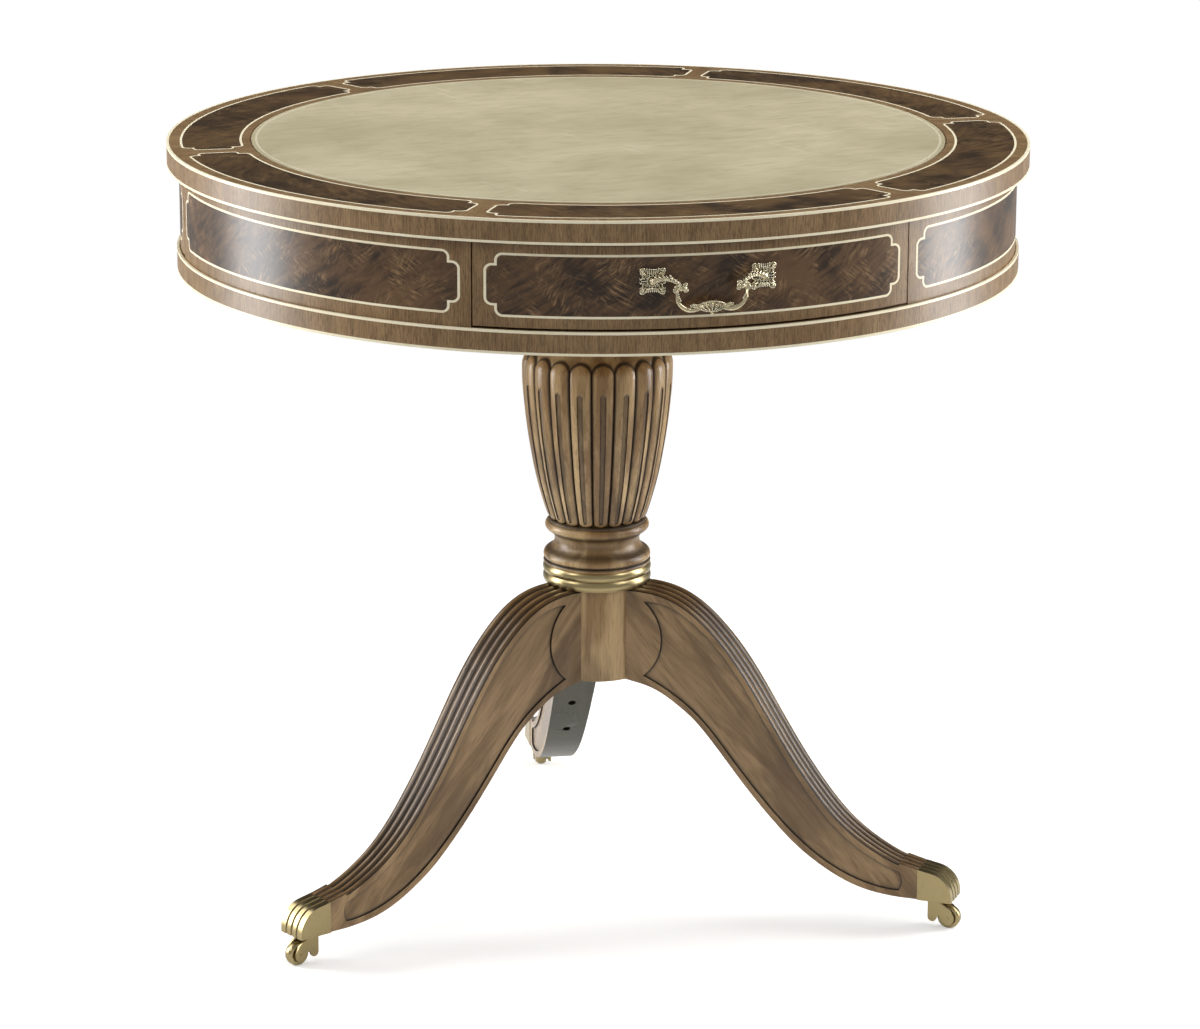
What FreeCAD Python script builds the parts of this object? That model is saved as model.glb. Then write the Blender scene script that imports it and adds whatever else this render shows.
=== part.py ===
import FreeCAD, Part
import math
import os
import Sketcher

doc = FreeCAD.newDocument("drum_table")

# Driving dimensions in millimetres and degrees.
# The origin is on the floor at the table's axis, and the front drawer faces -Y.
# Heights of the base are measured from the floor, and the rest stacks on them.
driving = {
    # casters
    "wheel_radius": 11.5,
    "wheel_width": 10.0,
    "wheel_edge_round": 2.5,
    "wheel_dish_radius": 7.0,
    "wheel_dish_depth": 0.8,
    "axle_radius": 2.0,
    "axle_clearance": 0.05,
    "axle_head": 0.6,
    "fork_side_gap": 1.0,
    "fork_cheek": 2.4,
    "fork_crown": 3.0,
    "fork_back": 6.5,
    "fork_hook_radius": 4.6,
    "fork_arm_radius": 7.0,
    "fork_pin_radius": 4.0,
    "fork_pin_clearance": 0.05,
    "fork_pin_rise": 17.0,
    "caster_trail": 13.5,
    "swivel_gap": 0.5,
    # leg caps
    "cap_bottom": 30.5,
    "cap_height": 31.3,
    "cap_length": 35.0,
    "cap_width": 34.0,
    "cap_wall": 2.0,
    "cap_slope": 10.0,
    "cap_toe_radius": 26.0,
    "cap_groove_radius": 1.3,
    "cap_fit": 0.1,
    "tenon_height": 18.1,
    "reed_count": 4,
    "swivel_inset": 15.5,
    # legs and block
    "leg_reach": 345.5,
    "leg_root_width": 47.0,
    "leg_foot_width": 33.0,
    "leg_reed_height": 2.2,
    "leg_border": 6.5,
    "leg_field_depth": 1.5,
    "leg_turn": -4.6,
    "lunette_inset": 18.5,
    "lunette_bulge": 18.5,
    "lunette_low_margin": 5.5,
    "lunette_high_margin": 12.0,
    "block_radius": 46.0,
    "block_bottom": 226.5,
    "block_height": 94.5,
    "tongue_neck": 14.0,
    "tongue_flare": 20.0,
    "tongue_depth": 12.0,
    "tongue_stop": 12.0,
    "joint_fit": 0.1,
    # screws of the base
    "screw_head_radius": 4.0,
    "screw_head_height": 2.4,
    "screw_radius": 2.0,
    "screw_length": 18.0,
    "screw_slot_width": 0.9,
    "screw_slot_depth": 0.7,
    "screw_fit": 0.05,
    "leg_screw_sink": 5.0,
    "plate_radius": 38.0,
    "plate_thickness": 2.5,
    "plate_screw_circle": 33.5,
    "plate_screw_sink": 0.1,
    # collar and column
    "collar_radius": 54.0,
    "collar_lower_bead": 10.0,
    "collar_upper_bead": 9.0,
    "collar_groove": 1.6,
    "collar_bore": 44.0,
    "spigot_radius": 14.0,
    "spigot_length": 40.0,
    "foot_height": 45.8,
    "vase_radius": 74.5,
    "vase_height": 170.0,
    "shoulder_height": 84.6,
    "column_reeds": 20,
    "column_reed_depth": 3.4,
    "column_reed_turn": -9.55,
    "column_head_radius": 62.0,
    # tie rod
    "rod_radius": 5.0,
    "rod_clearance": 0.25,
    "rod_overhang": 9.0,
    "nut_flats": 17.0,
    "nut_height": 6.0,
    "washer_radius": 11.0,
    "washer_thickness": 1.6,
    # turning bearing
    "race_radius": 60.0,
    "race_fit": 0.05,
    "race_gap": 0.3,
    "ball_radius": 3.0,
    "ball_count": 18,
    "cage_thickness": 1.6,
    "cage_width": 13.0,
    "cage_fit": 0.1,
    "race_depth": 1.2,
    "bearing_plate": 3.0,
    "lower_race_rim": 12.0,
    "upper_race_rim": 15.0,
    "upper_race_bore": 42.0,
    "bearing_screw_inset": 6.0,
    # drum
    "top_radius": 419.0,
    "top_thickness": 22.0,
    "top_overhang": 11.5,
    "panel_height": 75.5,
    "panel_gap_low": 2.0,
    "panel_gap_high": 3.0,
    "panel_joint": 0.75,
    "front_thickness": 20.0,
    "backing_thickness": 12.0,
    "band_projection": 3.5,
    "band_thickness": 16.0,
    "band_height": 21.8,
    "band_drop": 3.3,
    "bottom_thickness": 12.0,
    "bottom_bore": 22.0,
    "board_fit": 0.1,
    "edge_string": 2.4,
    # inlay
    "veneer_thickness": 0.8,
    "string_width": 2.2,
    "panel_end_margin": 10.2,
    "panel_low_margin": 9.4,
    "panel_high_margin": 7.7,
    "panel_step": 9.9,
    "panel_corner": 7.0,
    "leather_thickness": 1.2,
    "leather_groove": 1.8,
    "leather_margin": 9.3,
    "top_panel_edge": 13.0,
    "top_panel_width": 59.7,
    "top_panel_margin": 8.0,
    # drawers
    "drawer_width": 356.0,
    "drawer_back": 130.0,
    "drawer_side": 12.0,
    "drawer_side_height": 66.0,
    "drawer_side_gap": 0.5,
    "drawer_lift": 1.3,
    "drawer_bottom": 5.0,
    "drawer_bottom_lift": 5.0,
    "drawer_groove": 5.0,
    "front_fit": 0.3,
    "guide_thickness": 15.0,
    "guide_ledge": 12.0,
    "guide_back": 125.0,
    "guide_front_gap": 0.5,
    "runner_gap": 0.3,
    # handles
    "mount_pitch": 51.0,
    "mount_rise": 44.0,
    "mount_side": 24.0,
    "mount_thickness": 2.2,
    "boss_radius": 6.0,
    "boss_tip_radius": 3.4,
    "boss_height": 5.5,
    "post_radius": 2.5,
    "post_clearance": 0.1,
    "post_nut_flats": 8.0,
    "post_nut_height": 3.5,
    "pivot_rise": 39.0,
    "pivot_stand": 11.0,
    "pivot_pin_radius": 1.6,
    "pivot_clearance": 0.06,
    "knuckle_pitch": 27.0,
    "knuckle_radius": 3.4,
    "knuckle_width": 6.4,
    "knuckle_gap": 0.4,
    "arm_radius": 2.1,
    "arm_rise": 5.6,
    "bail_radius": 2.1,
    "bail_drop": 19.0,
    "shell_width": 32.0,
    "shell_height": 10.4,
    "shell_depth": 6.4,
    "finial_radius": 1.9,
    # one overrun for every cut
    "overrun": 2.0,
}

sheet = doc.addObject("Spreadsheet::Sheet", "Sizes")
for row, name in enumerate(driving, start=1):
    sheet.set(f"A{row}", name)
    sheet.set(f"B{row}", str(driving[name]))
    sheet.setAlias(f"B{row}", name)
doc.recompute()


class Size:
    """A number read from the sheet, together with the formula that gives it."""

    def __init__(self, value, text):
        self.value = float(value)
        self.text = text

    def __float__(self):
        return self.value

    def joined(self, other, sign, value, flipped=False):
        first, second = self.text, textOf(other)
        if flipped:
            first, second = second, first
        return Size(value, f"({first} {sign} {second})")

    def __add__(self, other):
        return self.joined(other, "+", self.value + float(other))

    def __radd__(self, other):
        return self.joined(other, "+", float(other) + self.value, True)

    def __sub__(self, other):
        return self.joined(other, "-", self.value - float(other))

    def __rsub__(self, other):
        return self.joined(other, "-", float(other) - self.value, True)

    def __mul__(self, other):
        return self.joined(other, "*", self.value * float(other))

    def __rmul__(self, other):
        return self.joined(other, "*", float(other) * self.value, True)

    def __truediv__(self, other):
        return self.joined(other, "/", self.value / float(other))

    def __neg__(self):
        return Size(-self.value, f"(0 - {self.text})")


def textOf(value):
    return value.text if isinstance(value, Size) else repr(float(value))


class Named:
    """Every driving dimension as an attribute."""


size = Named()
for name in driving:
    setattr(size, name, Size(sheet.get(name), "Sizes." + name))



def rootOf(square):
    return Size(math.sqrt(float(square)), f"sqrt({square.text})")


def sineOf(angle):
    return Size(math.sin(math.radians(float(angle))), f"sin({angle.text})")


def degreesOf(ratio):
    return Size(math.degrees(float(ratio)), f"({ratio.text} * 180 / pi)")


half = 0.5
noInset = Size(0, "0")
rightAngle = 90.0
fullTurn = 360.0
upright = FreeCAD.Vector(0, 0, 1)
layDown = FreeCAD.Rotation(FreeCAD.Vector(1, 0, 0), -rightAngle)
origin = FreeCAD.Vector(0, 0, 0)
legAzimuths = {"left": -60.0, "right": 60.0, "rear": 180.0}
drawerAzimuths = {"front": 0.0, "right": 120.0, "left": 240.0}
fixedAzimuths = (60.0, 180.0, 300.0)
nodes = []

# Heights that follow from the stack
blockTop = size.block_bottom + size.block_height
collarTop = blockTop + size.collar_lower_bead + size.collar_upper_bead
vaseBottom = collarTop + size.foot_height
shoulderBottom = vaseBottom + size.vase_height
columnTop = shoulderBottom + size.shoulder_height
lowerPlateTop = columnTop + size.bearing_plate
ballHeight = lowerPlateTop - size.race_depth + size.ball_radius
upperPlateBottom = ballHeight + size.ball_radius - size.race_depth
boardBottom = upperPlateBottom + size.bearing_plate
boardTop = boardBottom + size.bottom_thickness
bandBottom = boardBottom - size.band_drop
bandTop = bandBottom + size.band_height
panelBottom = bandTop + size.panel_gap_low
panelTop = panelBottom + size.panel_height
topBottom = panelTop + size.panel_gap_high
tableHeight = topBottom + size.top_thickness

# Radii that follow from the top, and half the angle of a front between its joints
friezeRadius = size.top_radius - size.top_overhang
frontInner = friezeRadius - size.front_thickness
bandRadius = friezeRadius + size.band_projection
bandBore = bandRadius - size.band_thickness
topPanelOuter = size.top_radius - size.top_panel_edge
topPanelInner = topPanelOuter - size.top_panel_width
leatherRadius = topPanelInner - size.leather_margin
frontHalfAngle = fullTurn / 12 - degreesOf(size.panel_joint / friezeRadius)


def vec(x, y, z):
    return FreeCAD.Vector(float(x), float(y), float(z))


def bind(obj, **values):
    for key, value in values.items():
        prop = key.replace("_", ".")
        if isinstance(value, Size):
            obj.setExpression(prop, value.text)
        else:
            setattr(obj, prop, value)


def place(obj, x=0, y=0, z=0):
    for axis, value in (("x", x), ("y", y), ("z", z)):
        if isinstance(value, Size):
            obj.setExpression(f"Placement.Base.{axis}", value.text)
    return obj


def turned(angle):
    return FreeCAD.Rotation(upright, float(angle))


def turn(obj, angle):
    obj.Placement = FreeCAD.Placement(obj.Placement.Base, turned(angle))
    if isinstance(angle, Size):
        obj.setExpression("Placement.Rotation.Angle", angle.text)
    return obj


def box(name, length, width, height, x=0, y=0, z=0):
    obj = doc.addObject("Part::Box", name)
    bind(obj, Length=length, Width=width, Height=height)
    return place(obj, x, y, z)


def cylinder(name, radius, height, x=0, y=0, z=0):
    obj = doc.addObject("Part::Cylinder", name)
    bind(obj, Radius=radius, Height=height)
    return place(obj, x, y, z)


def hexagon(name, flats, height, z=0):
    obj = doc.addObject("Part::Prism", name)
    obj.Polygon = 6
    bind(obj, Circumradius=flats * half / math.cos(math.radians(fullTurn / 12)), Height=height)
    return place(obj, z=z)


def fuse(name, *parts):
    obj = doc.addObject("Part::MultiFuse", name)
    obj.Shapes = list(parts)
    return obj


def cut(name, base, *tools):
    obj = doc.addObject("Part::Cut", name)
    obj.Base = base
    obj.Tool = tools[0] if len(tools) == 1 else fuse(name + "Tools", *tools)
    return obj


def gather(name, *parts):
    obj = doc.addObject("Part::Compound", name)
    obj.Links = list(parts)
    return obj


def common(name, base, tool):
    obj = doc.addObject("Part::Common", name)
    obj.Base = base
    obj.Tool = tool
    return obj


def spun(name, angle, *parts):
    """The parts as one group, turned about Z."""
    return turn(gather(name, *parts), angle)


def ringSolid(name, low, high, bottom, top):
    """A plain ring between two radii and two heights."""
    outer = cylinder(name + "Outer", high, top - bottom, z=bottom)
    bore = cylinder(name + "Bore", low, top - bottom + 2 * size.overrun, z=bottom - size.overrun)
    return cut(name, outer, bore)


def wedge(name, low, high, bottom, top, halfAngle):
    """A ring's sector centred on -Y."""
    outer = cylinder(name + "Outer", high, top - bottom, z=bottom)
    bind(outer, Angle=2 * halfAngle)
    turn(outer, -rightAngle - halfAngle)
    bore = cylinder(name + "Bore", low, top - bottom + 2 * size.overrun, z=bottom - size.overrun)
    return cut(name, outer, bore)


def feature(name, shape, angle=0):
    obj = doc.addObject("Part::Feature", name)
    obj.Shape = shape
    obj.Placement = FreeCAD.Placement(origin, turned(angle))
    return obj


def node(obj, label):
    obj.Label = label
    nodes.append(obj)
    return obj


def originPlane(body, role):
    return [item for item in body.Origin.OriginFeatures if item.Role == role][0]


def polygonSketch(body, name, role, points):
    """A closed outline whose corners are each held at named distances from the origin."""
    sketch = body.newObject("Sketcher::SketchObject", name)
    sketch.AttachmentSupport = (originPlane(body, role), [""])
    sketch.MapMode = "FlatFace"
    corners = [vec(x, y, 0) for x, y in points]
    count = len(corners)
    for i in range(count):
        sketch.addGeometry(Part.LineSegment(corners[i], corners[(i + 1) % count]), False)
    for i in range(count):
        sketch.addConstraint(Sketcher.Constraint("Coincident", i, 2, (i + 1) % count, 1))
    for i, (x, y) in enumerate(points):
        for kind, value in (("DistanceX", x), ("DistanceY", y)):
            index = sketch.addConstraint(Sketcher.Constraint(kind, -1, 1, i, 1, float(value)))
            sketch.setExpression(f"Constraints[{index}]", textOf(value))
    return sketch


def revolvedBody(name, points):
    """A solid of revolution about Z, from corners given as radius and height."""
    body = doc.addObject("PartDesign::Body", name)
    sketch = polygonSketch(body, name + "Outline", "XZ_Plane", points)
    solid = body.newObject("PartDesign::Revolution", name + "Turning")
    solid.Profile = sketch
    solid.ReferenceAxis = (sketch, ["V_Axis"])
    solid.Angle = fullTurn
    return body


def sector(low, high, bottom, top, halfAngle):
    """A ring's sector centred on -Y."""
    height = float(top) - float(bottom)
    span = 2 * float(halfAngle)
    outer = Part.makeCylinder(float(high), height, vec(0, 0, bottom), upright, span)
    inner = Part.makeCylinder(float(low), height, vec(0, 0, bottom), upright, span)
    piece = outer.cut(inner)
    piece.rotate(origin, upright, -rightAngle - float(halfAngle))
    return piece


def roundedAlong(shape, direction, radius):
    """Rounds the edges that run along one direction."""
    edges = []
    for edge in shape.Edges:
        line = edge.Vertexes[-1].Point - edge.Vertexes[0].Point
        straight = line.Length > 0 and abs(abs(line.normalize().dot(direction)) - 1) < 1e-6
        if straight:
            edges.append(edge)
    return shape.makeFillet(float(radius), edges)


def arc(first, middle, last):
    return Part.Arc(first, middle, last).toShape()


def line(first, last):
    return Part.makeLine(first, last)


def bentBar(first, middle, last, radius):
    """A round bar bent along the arc through three points."""
    curve = Part.Arc(first, middle, last)
    circle = Part.Circle(first, middle, last)
    along = curve.tangent(curve.FirstParameter)[0]
    section = Part.Face(Part.Wire(Part.makeCircle(float(radius), first, along)))
    axis = (middle - first).cross(last - first).normalize()
    start, end = first - circle.Center, last - circle.Center
    angle = math.degrees(math.atan2(start.cross(end).dot(axis), start.dot(end))) % fullTurn
    return section.revolve(circle.Center, axis, angle)


def revolvedShape(edges):
    return Part.Face(Part.Wire(edges)).revolve(origin, upright, fullTurn)


def azimuthTurn(azimuth):
    """The turn about Z that takes +X to this azimuth, counted from -Y towards +X."""
    return azimuth - rightAngle


def beadRing(name, bottom, top):
    """One ring of the collar: a straight wall with a round bead that stands out by the groove's depth."""
    inner = size.collar_bore
    waist = size.collar_radius - size.collar_groove
    halfHeight = (top - bottom) * half
    groove = size.collar_groove
    bulge = (halfHeight * halfHeight + groove * groove) / (2 * groove)
    round_ = doc.addObject("Part::Torus", name + "Round")
    bind(round_, Radius1=size.collar_radius - bulge, Radius2=bulge)
    place(round_, z=(top + bottom) * half)
    limits = ringSolid(name + "Limits", inner, size.collar_radius + size.overrun, bottom, top)
    wall = ringSolid(name + "Wall", inner, waist, bottom, top)
    return fuse(name, wall, common(name + "Bead", round_, limits))


def makeCollar():
    joint = blockTop + size.collar_lower_bead
    beads = beadRing("LowBead", blockTop, joint), beadRing("HighBead", joint, collarTop)
    node(fuse("Collar", *beads), "brass_collar")


def columnFoot():
    """The turned foot: spigot, plain seat in the collar, bead, cushion, cove and astragal."""
    radius = float(size.collar_radius)
    base = float(collarTop)
    height = float(size.foot_height)

    def at(radialShare, heightShare):
        return vec(radius * radialShare, 0, base + height * heightShare)

    seat = float(size.collar_bore - size.joint_fit)
    spigot = float(size.spigot_radius)
    tail = float(blockTop - size.spigot_length)
    beadLow, beadHigh = at(0.97, 0), at(0.97, 0.085)
    cushionLow, cushionHigh = at(0.965, 0.1), at(0.92, 0.3)
    neckTop, astragalLow, astragalHigh = at(0.88, 0.71), at(0.905, 0.73), at(0.905, 0.96)
    edges = [
        line(vec(0, 0, tail), vec(spigot, 0, tail)),
        line(vec(spigot, 0, tail), vec(spigot, 0, blockTop)),
        line(vec(spigot, 0, blockTop), vec(seat, 0, blockTop)),
        line(vec(seat, 0, blockTop), vec(seat, 0, collarTop)),
        line(vec(seat, 0, collarTop), beadLow),
        arc(beadLow, at(0.99, 0.042), beadHigh),
        line(beadHigh, cushionLow),
        arc(cushionLow, at(0.985, 0.17), cushionHigh),
        arc(cushionHigh, at(0.785, 0.49), neckTop),
        line(neckTop, astragalLow),
        arc(astragalLow, at(0.958, 0.845), astragalHigh),
        line(astragalHigh, at(0.905, 1)),
        line(at(0.905, 1), at(0, 1)),
        line(at(0, 1), vec(0, 0, tail)),
    ]
    return revolvedShape(edges)


# Height and radius of the reeded vase as shares of its height and widest radius
vaseShares = (
    (0.0, 0.63),
    (0.06, 0.68),
    (0.16, 0.752),
    (0.28, 0.824),
    (0.40, 0.877),
    (0.54, 0.93),
    (0.68, 0.97),
    (0.82, 1.0),
    (0.92, 1.0),
    (0.975, 0.98),
    (1.0, 0.93),
)


def lobedWire(radius, valley, height, count, firstAngle):
    """A round outline of equal outward lobes."""
    step = 2 * math.pi / count
    edges = []
    for i in range(count):
        start = firstAngle + i * step
        ends = [vec(valley * math.cos(a), valley * math.sin(a), height) for a in (start, start + step)]
        middle = start + step * half
        crest = vec(radius * math.cos(middle), radius * math.sin(middle), height)
        edges.append(arc(ends[0], crest, ends[1]))
    return Part.Wire(edges)


def makeColumn():
    count = int(float(size.column_reeds))
    first = math.radians(float(size.column_reed_turn) - rightAngle - fullTurn / count * half)
    wires = []
    for heightShare, radialShare in vaseShares:
        radius = float(size.vase_radius) * radialShare
        depth = float(size.column_reed_depth) * radialShare
        height = float(vaseBottom) + float(size.vase_height) * heightShare
        wires.append(lobedWire(radius, radius - depth, height, count, first))
    vase = Part.makeLoft(wires, True, False)
    wide = float(size.vase_radius)
    head = float(size.column_head_radius)
    base = float(shoulderBottom)
    rise = float(size.shoulder_height)
    lapShare = 0.04
    start = vec(wide * 0.86, 0, base - rise * lapShare)
    shoulder = [vec(wide * 0.86, 0, base), vec(wide * 0.72, 0, base + rise * 0.25)]
    waist = vec(wide * 0.6, 0, base + rise * 0.6)
    lip = vec(head, 0, base + rise * 0.9)
    edges = [
        line(vec(0, 0, start.z), start),
        line(start, shoulder[0]),
        arc(shoulder[0], vec(wide * 0.815, 0, base + rise * 0.14), shoulder[1]),
        arc(shoulder[1], waist, lip),
        line(lip, vec(head, 0, columnTop)),
        line(vec(head, 0, columnTop), vec(0, 0, columnTop)),
        line(vec(0, 0, columnTop), vec(0, 0, start.z)),
    ]
    whole = columnFoot().fuse([vase, revolvedShape(edges)])
    bottom = blockTop - size.spigot_length - size.overrun
    bore = Part.makeCylinder(
        float(size.rod_radius + size.rod_clearance),
        float(columnTop - bottom + size.overrun),
        vec(0, 0, bottom),
    )
    node(feature("Column", whole.cut(bore)), "column")


# The leg's top arris and lower edge, station by station from the root to the foot:
# radius over the leg's reach and height over the block's top.
# The first station has no radius of its own, as it sits on the block's flat.
legTopShares = (
    (0.0, 0.9922),
    (0.1740, 0.9907),
    (0.2605, 0.9673),
    (0.3444, 0.9081),
    (0.4255, 0.8178),
    (0.5036, 0.6994),
    (0.5818, 0.5654),
    (0.6541, 0.4517),
    (0.7410, 0.3380),
    (0.8220, 0.2648),
    (0.9030, 0.2165),
    (0.9450, 0.1994),
)
legLowShares = (
    (0.0, 0.7056),
    (0.1680, 0.6947),
    (0.2287, 0.6698),
    (0.2865, 0.6293),
    (0.3444, 0.5748),
    (0.4197, 0.4798),
    (0.4978, 0.3785),
    (0.5760, 0.2882),
    (0.6628, 0.2056),
    (0.7554, 0.1449),
    (0.8596, 0.1065),
    (0.9450, 0.0970),
)


def legPoints(shares):
    reach = float(size.leg_reach)
    rise = float(blockTop)
    return [(max(reach * r, blockFlat()), rise * z) for r, z in shares]


def legHalfWidth(radius):
    """Half the leg's width: it narrows evenly from the root to the foot."""
    root, foot = float(size.leg_root_width), float(size.leg_foot_width)
    near = blockFlat()
    share = (radius - near) / (float(size.leg_reach) - near)
    return half * (root + (foot - root) * share)


def blockFlat():
    """How far from the axis the leg's root meets the block."""
    return math.sqrt(float(size.block_radius) ** 2 - (half * float(size.leg_root_width)) ** 2)


def legSection(top, low, reeded):
    """One cross-section of the leg, its upper side a row of round reeds."""
    topRadius, topHeight = top
    lowRadius, lowHeight = low
    topHalf, lowHalf = legHalfWidth(topRadius), legHalfWidth(lowRadius)
    up = vec(topRadius - lowRadius, 0, topHeight - lowHeight).normalize()
    count = int(float(size.reed_count))
    lift = up * (float(size.leg_reed_height) if reeded else 0)
    start = vec(topRadius, -topHalf, topHeight)
    stride = vec(0, 2 * topHalf / count, 0)
    edges = [line(vec(lowRadius, -lowHalf, lowHeight), start)]
    for i in range(count):
        first = start + stride * i
        last = first + stride
        middle = (first + last) * half + lift
        edges.append(arc(first, middle, last) if reeded else line(first, last))
    edges.append(line(start + stride * count, vec(lowRadius, lowHalf, lowHeight)))
    edges.append(line(vec(lowRadius, lowHalf, lowHeight), vec(lowRadius, -lowHalf, lowHeight)))
    return Part.Wire(edges)


def lowerEdgeCurve():
    curve = Part.BSplineCurve()
    curve.interpolate([vec(r, 0, z) for r, z in legPoints(legLowShares)])
    return curve


def legScrewAxes():
    """Where the two screws sit on the leg's underside, and the way they point in."""
    curve = lowerEdgeCurve()
    axes = []
    for share in legScrewShares:
        spot = curve.value(curve.FirstParameter + share * (curve.LastParameter - curve.FirstParameter))
        tangent = curve.tangent(curve.parameter(spot))[0]
        inward = FreeCAD.Vector(-tangent.z, 0, tangent.x)
        axes.append((spot, inward))
    return axes


legScrewShares = (0.42, 0.57)


def fieldTool():
    """The sunk field of a leg's side: an outline between borders, ending in the lunette."""
    border = float(size.leg_border)
    upper, lower = [], []
    for (tr, tz), (lr, lz) in list(zip(legPoints(legTopShares), legPoints(legLowShares)))[2:]:
        across = FreeCAD.Vector(tr - lr, 0, tz - lz)
        share = border / across.Length
        upper.append(vec(tr, 0, tz) - across * share)
        lower.append(vec(lr, 0, lz) + across * share)
    chord = blockFlat() + float(size.lunette_inset)
    highTip = vec(chord, 0, blockTop - size.lunette_high_margin)
    lowTip = vec(chord, 0, size.block_bottom + size.lunette_low_margin)
    upperCurve = Part.BSplineCurve()
    upperCurve.interpolate([highTip] + upper)
    lowerCurve = Part.BSplineCurve()
    lowerCurve.interpolate([lowTip] + lower)
    farMiddle = (upper[-1] + lower[-1]) * half
    along = (upper[-1] - lower[-1]).cross(FreeCAD.Vector(0, 1, 0)).normalize()
    if along.x < 0:
        along = along * -1
    tip = farMiddle + along * (half * border)
    crown = (highTip + lowTip) * half + vec(size.lunette_bulge, 0, 0)
    outline = Part.Wire([
        upperCurve.toShape(),
        arc(upper[-1], tip, lower[-1]),
        lowerCurve.toShape(),
        arc(lowTip, crown, highTip),
    ])
    depth = float(size.leg_field_depth)
    tool = Part.Face(outline).extrude(FreeCAD.Vector(0, depth + float(size.overrun), 0))
    near, far = blockFlat(), float(size.leg_reach)
    lean = math.degrees(math.atan2(legHalfWidth(far) - legHalfWidth(near), far - near))
    tool.rotate(vec(near, 0, 0), upright, lean)
    tool.translate(vec(0, legHalfWidth(near) - depth, 0))
    return tool


def mirroredSide(shape):
    return shape.mirror(origin, FreeCAD.Vector(0, 1, 0))


def tongueShape(slack, top):
    """The dovetail tongue on the leg's root, along +X, or the slot for it."""
    face = blockFlat()
    deep = float(size.tongue_depth) + slack
    neck = half * float(size.tongue_neck) + slack
    flare = half * float(size.tongue_flare) + slack
    out = float(size.overrun)
    edge = [(face - deep, flare), (face, neck), (face + out, neck)]
    corners = [(x, -y) for x, y in reversed(edge)] + edge
    wire = Part.makePolygon([vec(x, y, size.block_bottom) for x, y in corners + corners[:1]])
    return Part.Face(wire).extrude(vec(0, 0, top - float(size.block_bottom)))


def makeLeg(side, azimuth):
    tops, lows = legPoints(legTopShares), legPoints(legLowShares)
    body = Part.makeLoft([legSection(t, b, True) for t, b in zip(tops, lows)], True, False)
    reach = float(size.leg_reach)
    under = lows[-1][1]
    crest = float(size.leg_reed_height)
    capTop = float(size.cap_bottom + size.cap_height)
    plain = Part.makeLoft([
        legSection((tops[-1][0], tops[-1][1] + crest), lows[-1], False),
        legSection((reach, capTop), (reach, under), False),
    ], True, True)
    fit = float(size.cap_fit)
    wall = float(size.cap_wall)
    tenonWidth = float(size.cap_width) - 2 * wall - 2 * fit
    tenonBottom = float(size.cap_bottom) + wall + fit
    tenonHeight = float(size.tenon_height)
    tenon = Part.makeBox(
        float(size.swivel_inset) + 2 * float(size.fork_pin_radius) - float(size.overrun),
        tenonWidth,
        tenonHeight,
        vec(reach, -half * tenonWidth, tenonBottom),
    )
    top = float(blockTop - size.tongue_stop)
    tongue = tongueShape(0, top).common(Part.makeBox(blockFlat(), reach, reach, vec(0, -half * reach, 0)))
    leg = body.fuse([plain, tenon, tongue])
    cutters = [fieldTool(), mirroredSide(fieldTool())]
    swivel = vec(size.leg_reach + size.swivel_inset, 0, tenonBottom - float(size.overrun))
    cutters.append(Part.makeCylinder(
        float(size.fork_pin_radius + size.fork_pin_clearance),
        tenonHeight + 2 * float(size.overrun),
        swivel,
    ))
    for spot, inward in legScrewAxes():
        sink = float(size.leg_screw_sink)
        out = float(size.overrun)
        mouth = spot - inward * out
        bore = Part.makeCylinder(float(size.screw_head_radius + size.screw_fit), sink + out, mouth, inward)
        shank = Part.makeCylinder(
            float(size.screw_radius + size.screw_fit),
            float(size.screw_length) + sink + out,
            mouth,
            inward,
        )
        seat = Part.makeCone(
            float(size.screw_head_radius + size.screw_fit),
            float(size.screw_radius + size.screw_fit),
            float(size.screw_head_height),
            spot + inward * sink,
            inward,
        )
        cutters += [bore, shank, seat]
    for x, y in plateScrewSpots():
        if y == 0:
            cutters.append(pilotHole(x, y))
    whole = leg.cut(cutters)
    node(feature("Leg" + side, whole, azimuthTurn(azimuth)), "leg_" + side)


def pilotHole(x, y):
    return Part.makeCylinder(
        float(size.screw_radius + size.screw_fit),
        float(size.screw_length + size.overrun),
        vec(x, y, size.block_bottom - size.overrun),
    )


def plateScrewSpots():
    """The three screws into the leg tongues and the three into the block, in the first leg's frame."""
    circle = float(size.plate_screw_circle)
    spots = []
    for i in range(6):
        angle = math.radians(fullTurn / 6 * i)
        spots.append((circle * math.cos(angle), circle * math.sin(angle) if i else 0))
    return spots


def screwShape():
    """A countersunk screw: head at the bottom, pointing up, with a slot across the head."""
    radius = float(size.screw_radius)
    head = Part.makeCone(float(size.screw_head_radius), radius, float(size.screw_head_height))
    length = float(size.screw_length) - 2 * radius
    shank = Part.makeCylinder(radius, length)
    point = Part.makeCone(radius, half * radius, radius, vec(0, 0, length))
    slot = Part.makeBox(
        3 * float(size.screw_head_radius),
        float(size.screw_slot_width),
        2 * float(size.screw_slot_depth),
        vec(-1.5 * float(size.screw_head_radius), -half * float(size.screw_slot_width),
            -float(size.screw_slot_depth)),
    )
    return head.fuse([shank, point]).cut(slot).removeSplitter()


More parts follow.
